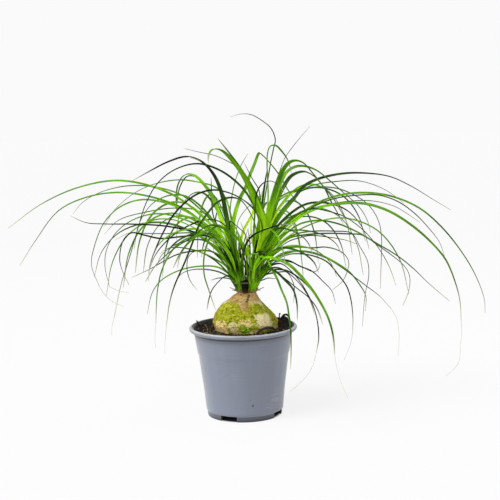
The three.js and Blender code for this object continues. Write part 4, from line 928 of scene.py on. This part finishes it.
def make_soil(settings):
    """The soil in the pot, with crumbs, twigs and fibres that lie on it."""
    bm = strips_mesh()
    rings = [[radius, SOIL_LEVEL] for radius in [0, 24, 30, 32, *(33 + 0.9 * i for i in range(23))]]
    rings += [[53.7, SOIL_LEVEL - 0.4], [54.2, SOIL_LEVEL - 1.2]]
    inside = [[radius - CLEARANCE - 0.1, height] for radius, height in POT_INSIDE[1:-2]]
    floor = POT_FLOOR + CLEARANCE
    spun(bm, [*rings, *inside, [40.8, 9.6], [39.8, floor], [0, floor]], SOIL_STEPS)
    for vert in bm.verts:
        x, y, z = vert.co / MM
        if z > SOIL_LEVEL - 1:
            vert.co.z = soil_height(x, y) * MM - (SOIL_LEVEL - z) * MM
    draw = random.Random(settings.seed)
    noise.seed_set(settings.seed)
    for _ in range(settings.crumbs):
        angle, radius = draw.uniform(0, 2 * math.pi), draw.uniform(33, 53)
        x, y = radius * math.cos(angle), radius * math.sin(angle)
        size = settings.crumb_size / MM * draw.uniform(0.25, 1) ** 1.5
        tilt = Matrix.Rotation(draw.uniform(0, 6.28), 4, Vector((draw.random(), draw.random(), 1)))
        shape = Matrix.Diagonal((size, size * draw.uniform(0.5, 0.9), size * draw.uniform(0.4, 0.8), 1))
        spot = Matrix.Translation(Vector((x, y, soil_height(x, y) + 0.2 * size)) * MM)
        crumb = bmesh.ops.create_icosphere(bm, subdivisions=1, radius=MM,
                                           matrix=spot @ tilt @ shape)["verts"]
        shade = draw.choice((0.02, 0.1, 0.15, 0.25, 0.4, 0.55, 0.8)) if size > 0.8 else 0.15
        for vert in crumb:
            vert[bm.verts.layers.float["shade"]] = shade + 0.02
            vert.co += noise.noise_vector(vert.co / MM) * 0.25 * size * MM
    for points, radii, shade in TWIGS:
        add_tube(bm, points, radii, shade, rough=0.35)
    for _ in range(FIBRES):
        add_fibre(bm, draw)
    piece("potting_soil", bm, potting_soil(settings), "potting_soil", "soil", sharp=60)


# Twigs and bark bits in the soil: [points, radii, shade].
TWIGS = [
    [[(41, 11, 101), (40.6, 11, 105.5), (41.2, 11, 109.2)], [0.9, 0.7, 0.65], 0.45],
    [[(41.2, 11, 108.6), (41.3, 11, 109.6), (41.3, 11.1, 110.8)], [0.5, 1.35, 0.5], 0.02],
    [[(42, 14, 100), (45, 14.5, 107), (49, 14.5, 108.2), (52.2, 13, 104), (52, 12, 98)],
     [0.9, 1.1, 1.2, 1.0, 0.8], 0.6],
    [[(-47, 12, 93), (-49.5, 12.5, 98), (-52, 13, 104)], [1.4, 1.2, 0.7], 0.1],
    [[(12, -41, 95), (18.5, -39, 101.3), (25.5, -33.8, 103.3), (32.5, -27, 101.5), (37.5, -20, 95.5)],
     [1.0, 1.3, 1.5, 1.2, 0.8], 0.45],
    [[(-44, -26, 96), (-40, -31, 98.6), (-35, -34, 97)], [0.4, 0.6, 0.4], 0.95],
    [[(-39, -26, 97), (-38.6, -26, 101), (-39.8, -25.5, 105), (-42, -25, 107)], [0.3, 0.35, 0.3, 0.2],
     0.95],
    [[(-36, -24, 97), (-35.4, -23, 101), (-33.2, -22.6, 104.8)], [0.25, 0.3, 0.2], 0.75],
    [[(-43, -22, 97), (-43.4, -22, 99.4), (-41.6, -23, 101.8)], [0.3, 0.35, 0.2], 0.9],
    [[(-34, -31, 97), (-31.6, -31.6, 99.8), (-29.4, -31, 102)], [0.3, 0.35, 0.2], 0.85],
]


def add_fibre(bm, draw):
    """A pale root fibre that lies over the crumbs."""
    angle, radius = draw.uniform(0, 2 * math.pi), draw.uniform(38, 51)
    heading, length = draw.uniform(0, 2 * math.pi), draw.uniform(3, 9)
    points = []
    for i in range(4):
        step = (i - 1.5) / 3 * length
        x = radius * math.cos(angle) + step * math.cos(heading) + draw.uniform(-0.6, 0.6)
        y = radius * math.sin(angle) + step * math.sin(heading) + draw.uniform(-0.6, 0.6)
        reach = math.hypot(x, y)
        if reach > 53 or reach < 34:
            return
        points.append((x, y, soil_height(x, y) + 0.5 + 0.8 * math.sin(math.pi * i / 3)))
    add_tube(bm, points, [0.16, 0.24, 0.2, 0.12], draw.uniform(0.6, 1.0), sides=5, rings=7)


# ---------------------------------------------------------------- the stem base and what is dead on it

def swelling(angle, height):
    """The stem base's slow swellings, as a share of its radius."""
    return SWELLING * (math.sin(2 * angle + height * 0.05) + 0.6 * math.sin(5 * angle - height * 0.11)
                       + 0.4 * math.sin(9 * angle + height * 0.23))


def make_stem_base(settings):
    """The swollen stem base, turned from its section and then given its swellings, lumps and cracks."""
    bm = bmesh.new()
    heights = [73, 74, 77, 80, 84, 88, *(90 + 0.62 * i for i in range(76))]
    section = [[between(CAUDEX, height), height] for height in heights]
    for _ in range(2):
        section[1:-1] = [[(a[0] + 2 * b[0] + c[0]) / 4, b[1]] for a, b, c in
                         zip(section, section[1:], section[2:])]
    section += [[8.4, 137.35], [7, 137.6], [4, 137.6], [0, 137.6]]
    spun(bm, section, settings.steps)
    relief = settings.relief / MM
    for vert in bm.verts:
        x, y, z = vert.co / MM
        radius, angle = math.hypot(x, y), math.atan2(y, x)
        if radius < 0.01:
            vert.co.x = between(CAUDEX, z, 1) * MM
            continue
        at = Vector((x, y, z))
        lumps = noise.fractal(at * 0.16, 0.9, 2.0, 4) + 0.5 * noise.fractal(at * 0.6, 0.8, 2.0, 3)
        side = min(1.0, radius / 8) * min(1.0, max(0.0, (138 - z) / 1.5))
        out = radius * (1 + swelling(angle, z)) + relief * lumps * side - neck_crack(at)
        vert.co = orbit(between(CAUDEX, z, 1), out, angle, z) * MM
    piece("swollen_stem_base", bm, corky_bark(settings), "stem_bark", "caudex", sharp=60)


def neck_crack(at):
    """Depth of the crack that parts the neck's two lobes, and of the dark one slanting below it."""
    if at.y > 0:
        return 0.0
    depth = 0.0
    for (x0, z0), (x1, z1), most, wide in NECK_CRACKS:
        share = min(1.0, max(0.0, (at.z - z0) / (z1 - z0)))
        away = abs(at.x - x0 - (x1 - x0) * share)
        ends = min(1.0, max(0.0, 1.6 - abs((at.z - (z0 + z1) / 2) / (z1 - z0) * 2)))
        depth += most * math.exp(-(away / wide) ** 2) * ends
    return depth


# Cracks on the neck's front, as the neck's own middle lies at x 0: [top, bottom, depth, width].
NECK_CRACKS = [
    [(-2.6, 138), (-3.2, 132.5), 1.5, 0.9],
    [(0.4, 133), (-4.2, 125.5), 0.9, 0.7],
]


def make_old_stem(settings):
    """The dead first stem, with a hollow splintered top."""
    x, y, height = STUMP["x"], STUMP["y"], STUMP["height"]
    bm = strips_mesh()
    section = [[0, 0], [1, 0], [1.04, 1.8], [1.18, 5.8], [1.14, 9.6], [1.24, 10.8], [1.2, 11.5],
               [1.08, 12.1], [1.1, 15.2], [1.18, 16.2], [0.95, height + 0.6], [0.7, height + 0.2],
               [0.4, height - 2.4], [0, height - 3]]
    spun(bm, [[STUMP["radius"] * share, SEAT + z] for share, z in section], 28)
    for vert in bm.verts:
        at = vert.co / MM
        side = 0.25 * noise.fractal(Vector((at.x, at.y, at.z * 0.3)) * 1.1, 0.8, 2.0, 3)
        ragged = max(0.0, (at.z - SEAT - height + 1) * 0.9) * noise.noise(at * 1.7)
        scale = 1 + side * min(1.0, max(0.0, (at.z - SEAT) / 2))
        vert.co = Vector((x + at.x * scale, y + at.y * scale, at.z + ragged)) * MM
    top = SEAT + height
    for dx, rise, thick in ((-2.2, 6, 0.8), (2.2, 4.5, 0.8), (0.2, 3.2, 0.6)):
        points = [(x + dx, y, top - 3), (x + dx * 1.1, y, top + rise * 0.4),
                  (x + dx * 0.7, y + 0.4, top + rise)]
        add_tube(bm, points, [thick * 1.2, thick, thick * 0.35], 0.0, sides=7, rings=9, rough=0.4)
    piece("dead_first_stem", bm, dead_wood(settings), "dead_stem", "old_stem_stump", sharp=45)


def make_dry_bases(settings, name):
    """A torn papery ring round the foot of a head, with split points that lean out of it."""
    head, ring = HEADS[name], DRY_BASES[name]
    bm = strips_mesh()
    inner = head["radius"] * 1.05 + CLEARANCE + 0.35
    seed = 3.7 if name == "left" else 9.1

    def band(u, v):
        angle = math.pi * u
        torn = 1.5 + 1.3 * abs(noise.noise(Vector((math.cos(angle) * 2.2, math.sin(angle) * 2.2, seed))))
        out = inner + 0.5 * v + 0.15 * math.sin(9 * angle)
        return orbit(head["x"], out, angle, SEAT + torn * v)
    add_strip(bm, (40, 3), band, (28, 3), 0.5)
    bmesh.ops.remove_doubles(bm, verts=bm.verts, dist=1e-6)
    points = [(angle, length, lift, 2.4) for angle, length, lift in ring["stubs"]]
    for i in range(8):
        angle = ring["from"] + (ring["to"] - ring["from"]) * i / 7
        points.append((angle, 3.6 + 0.5 * (i % 3), 62, 2.2))
    for angle, length, lift, width in points:
        out = Matrix.Rotation(math.radians(angle), 3, "Z")
        rise = math.radians(lift)

        def torn_point(u, v):
            reach, curl = length * v, 0.5 * (1 - v) * u * u
            half = 0.5 * width * (1 - v) ** 0.7 + 0.12
            flat = Vector((inner + 0.25 - curl + reach * math.cos(rise), u * half,
                           SEAT + 0.8 + reach * math.sin(rise) - 0.08 * reach * v))
            return out @ flat + Vector((head["x"], 0, 0))
        add_strip(bm, (3, 6), torn_point, (width, length), 0.5)
    made = piece("dry_leaf_bases_of_" + name + "_head", bm, dry_leaf(settings), "dry_leaf",
                 "dry_leaf_bases_" + name)
    thicken(made, settings.paper)


def thicken(made, thickness):
    """Gives a piece made of sheets its thickness."""
    wall = made.modifiers.new("thickness", "SOLIDIFY")
    wall.thickness, wall.offset = thickness, 0.0


# ---------------------------------------------------------------- the leaves

def stem_centre(head, height):
    """How far right the middle of a head's leaning stem is at a height."""
    return head["x"] + head["lean"] * max(0.0, height - SEAT - STEM_REST)


def foot_height(rise):
    """A leaf that rises high grows from high on the head's stem, and a low one from its foot."""
    share = min(1.0, max(0.0, (rise - FOOT["low_rise"]) / (FOOT["high_rise"] - FOOT["low_rise"])))
    return SEAT + FOOT["low"] + (FOOT["high"] - FOOT["low"]) * share


def traced_points(head, depth, bow, marks):
    """The points of a leaf that is given as seen: its depth grows along its length."""
    tip = marks[-1]
    plan = Vector((tip[0] - head["x"], depth)).normalized() * FOOT["spread"] * head["radius"]
    foot = foot_height(marks[0][1])
    flat = [(stem_centre(head, foot) + plan.x, foot), *marks]
    along = running_lengths([Vector(mark) for mark in flat])
    points = []
    for (across, up), length in zip(flat, along):
        share = length / along[-1]
        back = plan.y + (depth - plan.y) * share ** 1.25 + bow * math.sin(math.pi * share)
        points.append(seen(across, up, back))
    return points


def seen(across, up, back):
    """A point seen at [across, up] on the middle plane, moved back along the line of sight."""
    away = 1 + back / EYE["distance"]
    return Vector((EYE["across"] + (across - EYE["across"]) * away, back,
                   EYE["height"] + (up - EYE["height"]) * away))


def fan_points(head, angle, reach, rise, drop):
    """The points of a leaf of a fan, which springs up, arches over and hangs."""
    foot = foot_height(FOOT["low_rise"] + 0.5 * rise)
    crest = SEAT + 10 + rise
    out = orbit(0, 1, angle, 0)
    middle = Vector((stem_centre(head, foot), 0, 0))
    points = [middle + out * FOOT["spread"] * head["radius"] + UP * foot]
    for share, up in FAN_SHAPE:
        height = foot + (crest - foot) * up if share < 0.5 else crest - drop * (1 - up)
        points.append(middle + out * share * reach + UP * height)
    return points


def add_blade(bm, points, width, facing, shade):
    """A channelled leaf along points: widest near its foot and drawn out to a hair at its tip."""
    steps = SPAN_STEPS * (len(points) - 1)
    curve = [curve_at(points, i / steps) for i in range(steps + 1)]
    along = running_lengths([at for at, _ in curve])
    outward = ((points[-1] - points[0]) * Vector((1, 1, 0))).normalized()
    level = outward.cross(UP)
    side = math.copysign(1, facing * outward.x)
    form = BLADE["broad" if width >= BLADE["broad_from"] else "narrow"]
    rings, low = [], 0.0
    for (at, ahead), length in zip(curve, along):
        share = length / along[-1]
        across = (level - ahead * level.dot(ahead)).normalized()
        crest = form["crest_turn"] * abs(facing) * math.sin(math.pi * share ** 1.5)
        turn = form["foot_turn"] * (1 - share) ** 2 + crest
        across.rotate(Quaternion(ahead, side * math.radians(turn)))
        under = ahead.cross(across)
        low += under.z
        taper = max(0.0, 1 - share) ** form["taper"] * min(1, 0.75 + 2 * share)
        rings.append((at, across, under, max(0.12, 0.5 * width * taper)))
    flip = -1 if low > 0 else 1

    def channel(u, v):
        at, across, under, half = rings[round(v * steps)]
        return at + across * half * u + under * flip * form["channel"] * half * (1 - abs(u)) ** 1.2
    add_strip(bm, (4, steps), channel, (width, along[-1]), shade)


def add_hair(bm, points):
    """The dry end of a long leaf, drawn out to a hair."""
    def ribbon(u, v):
        at, ahead = curve_at(points, v)
        across = Vector((ahead.z, 0, -ahead.x)).normalized()
        return at + across * u * (0.2 - 0.1 * v)
    add_strip(bm, (1, SPAN_STEPS * (len(points) - 1)), ribbon, (1, 60), 0.5, start=0.99)


def add_sheath(bm, head, angle, height, layer, shade):
    """A leaf base that clasps the stem of its head, drawn in as it rises to a narrow neck."""
    def clasp(u, v):
        z = SEAT + 0.2 + v * height
        radius = between(CORE, v * height, 0, 1) * head["radius"] + 0.3 + layer * (0.25 + 0.5 * v)
        radius += 1.2 * v ** 4 + 0.35 * (1 - u * u)
        return orbit(stem_centre(head, z), radius, angle + u * math.radians(85 - 62 * v), z)
    add_strip(bm, (6, 10), clasp, (12, height), shade)


def make_head(settings, name, rows):
    """One growing head: its stem of wrapped leaf bases, and every leaf that stands out of it."""
    head = HEADS[name]
    bm = strips_mesh()
    for face, width, depth, bow, shade, *marks in rows:
        add_blade(bm, traced_points(head, depth, bow, marks), width, face, shade)
    state = settings.seed

    def draw():
        nonlocal state
        state = state * 16807 % 2147483647
        return state / 2147483647
    for fan in FANS:
        step = (fan["to"] - fan["from"]) / fan["count"]
        for i in range(fan["count"]):
            turn, far, high, low, wide = [draw() for _ in range(5)]
            if fan["head"] != name:
                continue
            points = fan_points(head, math.radians(fan["from"] + step * (i + 0.2 + 0.6 * turn)),
                                fan["reach"] * (0.72 + 0.28 * far), fan["rise"] * (0.62 + 0.38 * high),
                                fan["drop"] * (0.6 + 0.4 * low))
            add_blade(bm, points, 2.4 + 1.4 * wide, -1 if i % 2 else 1, 0.22 + 0.55 * low)
    for owner, width, back, shade, *marks in HEART_LEAVES:
        if owner == name:
            add_blade(bm, [seen(across, up, back) for across, up in marks], width, 1, shade)
    for owner, back, *marks in LEAF_HAIRS:
        if owner == name:
            add_hair(bm, [seen(across, up, back * (1 + 0.03 * i)) for i, (across, up) in enumerate(marks)])
    for i in range(SHEATHS):
        angle, shade = math.radians(137.5 * i + 200), head["shade"] + 0.22 * math.sin(2.4 * i)
        add_sheath(bm, head, angle, 15 + 1.35 * i, 2 - 2 * i / SHEATHS, shade)
    add_core(bm, head)
    made = piece("living_leaves_of_" + name + "_head", bm, fresh_leaf(settings), "green_leaf",
                 "leaf_head_" + name, sharp=180)
    thicken(made, settings.thickness)


def add_core(bm, head):
    """The stem inside the wrapped leaf bases."""
    tall = CORE[-1][1]

    def wall(u, v):
        radius = max(0.2, between(CORE, v * tall, 0, 1) * head["radius"] * 0.9)
        height = SEAT + 0.25 + v * tall
        return orbit(stem_centre(head, height), radius, math.pi * u, height)
    add_strip(bm, (20, 16), wall, (24, tall), 0.35, closed=True)


# ---------------------------------------------------------------- the stage

def make_stage(settings):
    """The paper floor, the soft lights and the camera at the front view."""
    bm = bmesh.new()
    bmesh.ops.create_grid(bm, x_segments=8, y_segments=8, size=6.0)
    floor = placed("paper_floor", bm)
    floor.data.materials.append(studio_floor(settings))
    scene = bpy.context.scene
    scene.view_settings.view_transform = "Standard"
    world = bpy.data.worlds.new("studio")
    scene.world = world
    world.use_nodes = True
    sky = world.node_tree.nodes["Background"]
    sky.inputs["Color"].default_value = (1, 1, 1, 1)
    # the white walls show and mirror brighter than they light the plant
    lights = add_node(world.node_tree, "LightPath", out="Is Diffuse Ray")
    wall = add_node(world.node_tree, "MapRange", lights, 0.0, 1.0, 0.955, 0.3)
    world.node_tree.links.new(wall, sky.inputs["Strength"])
    for name, towards, spread, power in LIGHTS:
        light = bpy.data.lights.new(name, "SUN")
        light.angle, light.energy = math.radians(spread), power
        lamp = bpy.data.objects.new(name, light)
        lamp.matrix_world = Vector(towards).to_track_quat("Z", "Y").to_matrix().to_4x4()
        scene.collection.objects.link(lamp)
    lens = bpy.data.cameras.new("front_view")
    lens.sensor_width, lens.lens = 36.0, settings.lens
    lens.clip_start, lens.clip_end = 0.05, 30.0
    camera = bpy.data.objects.new("front_view", lens)
    place = Vector((EYE["across"] * MM, -settings.distance, EYE["height"] * MM))
    pitch, roll = math.radians(90 - EYE["pitch"]), math.radians(-EYE["roll"])
    camera.matrix_world = (Matrix.Translation(place) @ Matrix.Rotation(pitch, 4, "X")
                           @ Matrix.Rotation(roll, 4, "Z"))
    scene.collection.objects.link(camera)
    scene.camera = camera


# Broad soft lights: name, the direction it stands in, its spread in degrees, and its strength.
LIGHTS = [
    ("key", (-0.6, -0.45, 1.0), 30, 2.8),
    ("top", (0.25, 0.1, 1.0), 70, 0.5),
    ("side", (-1.0, -0.05, 0.25), 50, 0.95),
    ("far_side", (1.0, -0.05, 0.15), 40, 0.5),
    ("front", (-0.1, -1.0, 0.35), 60, 0.7),
]


# ---------------------------------------------------------------- operators, panel and registration

class PONYTAIL_OT_pot(bpy.types.Operator):
    """Makes the moulded pot with its rim, slotted foot and drain holes"""
    bl_idname = "ponytail.pot"
    bl_label = "Nursery pot"

    def execute(self, context):
        make_pot(context.scene.ponytail_pot)
        return {"FINISHED"}


class PONYTAIL_OT_soil(bpy.types.Operator):
    """Makes the potting soil with its crumbs, twigs and fibres"""
    bl_idname = "ponytail.soil"
    bl_label = "Potting soil"

    def execute(self, context):
        make_soil(context.scene.ponytail_soil)
        return {"FINISHED"}


class PONYTAIL_OT_stem_base(bpy.types.Operator):
    """Makes the swollen corky stem base"""
    bl_idname = "ponytail.stem_base"
    bl_label = "Swollen stem base"

    def execute(self, context):
        make_stem_base(context.scene.ponytail_stem_base)
        return {"FINISHED"}


class PONYTAIL_OT_dead_parts(bpy.types.Operator):
    """Makes the dead first stem and the dry leaf bases round both heads"""
    bl_idname = "ponytail.dead_parts"
    bl_label = "Dead stem and dry leaf bases"

    def execute(self, context):
        make_old_stem(context.scene.ponytail_dead)
        for name in HEADS:
            make_dry_bases(context.scene.ponytail_dead, name)
        return {"FINISHED"}


class PONYTAIL_OT_leaf_heads(bpy.types.Operator):
    """Makes the two growing heads with all their leaves"""
    bl_idname = "ponytail.leaf_heads"
    bl_label = "Leaf heads"

    def execute(self, context):
        make_head(context.scene.ponytail_leaves, "left", LEFT_LEAVES)
        make_head(context.scene.ponytail_leaves, "right", RIGHT_LEAVES)
        return {"FINISHED"}


class PONYTAIL_OT_stage(bpy.types.Operator):
    """Makes the floor, the lights and the camera"""
    bl_idname = "ponytail.stage"
    bl_label = "Floor, lights and camera"

    def execute(self, context):
        make_stage(context.scene.ponytail_stage)
        return {"FINISHED"}


OPERATORS = (PONYTAIL_OT_pot, PONYTAIL_OT_soil, PONYTAIL_OT_stem_base, PONYTAIL_OT_dead_parts,
             PONYTAIL_OT_leaf_heads, PONYTAIL_OT_stage)


class PONYTAIL_PT_pieces(bpy.types.Panel):
    """Lists the pieces of the potted ponytail palm"""
    bl_idname = "PONYTAIL_PT_pieces"
    bl_label = "Ponytail palm"
    bl_space_type = "VIEW_3D"
    bl_region_type = "UI"
    bl_category = "Ponytail palm"

    def draw(self, context):
        for operator in OPERATORS:
            self.layout.operator(operator.bl_idname)


SETTINGS = {
    "ponytail_pot": PotSettings,
    "ponytail_soil": SoilSettings,
    "ponytail_stem_base": StemBaseSettings,
    "ponytail_dead": DeadStemSettings,
    "ponytail_leaves": LeafSettings,
    "ponytail_stage": StageSettings,
}
CLASSES = (*SETTINGS.values(), *OPERATORS, PONYTAIL_PT_pieces)


def register():
    for each in CLASSES:
        bpy.utils.register_class(each)
    for name, group in SETTINGS.items():
        setattr(bpy.types.Scene, name, PointerProperty(type=group))


def unregister():
    for name in SETTINGS:
        delattr(bpy.types.Scene, name)
    for each in reversed(CLASSES):
        bpy.utils.unregister_class(each)


def main():
    register()
    bpy.ops.ponytail.pot()
    bpy.ops.ponytail.soil()
    bpy.ops.ponytail.stem_base()
    bpy.ops.ponytail.dead_parts()
    bpy.ops.ponytail.leaf_heads()
    bpy.ops.ponytail.stage()


if __name__ == "__main__":
    main()
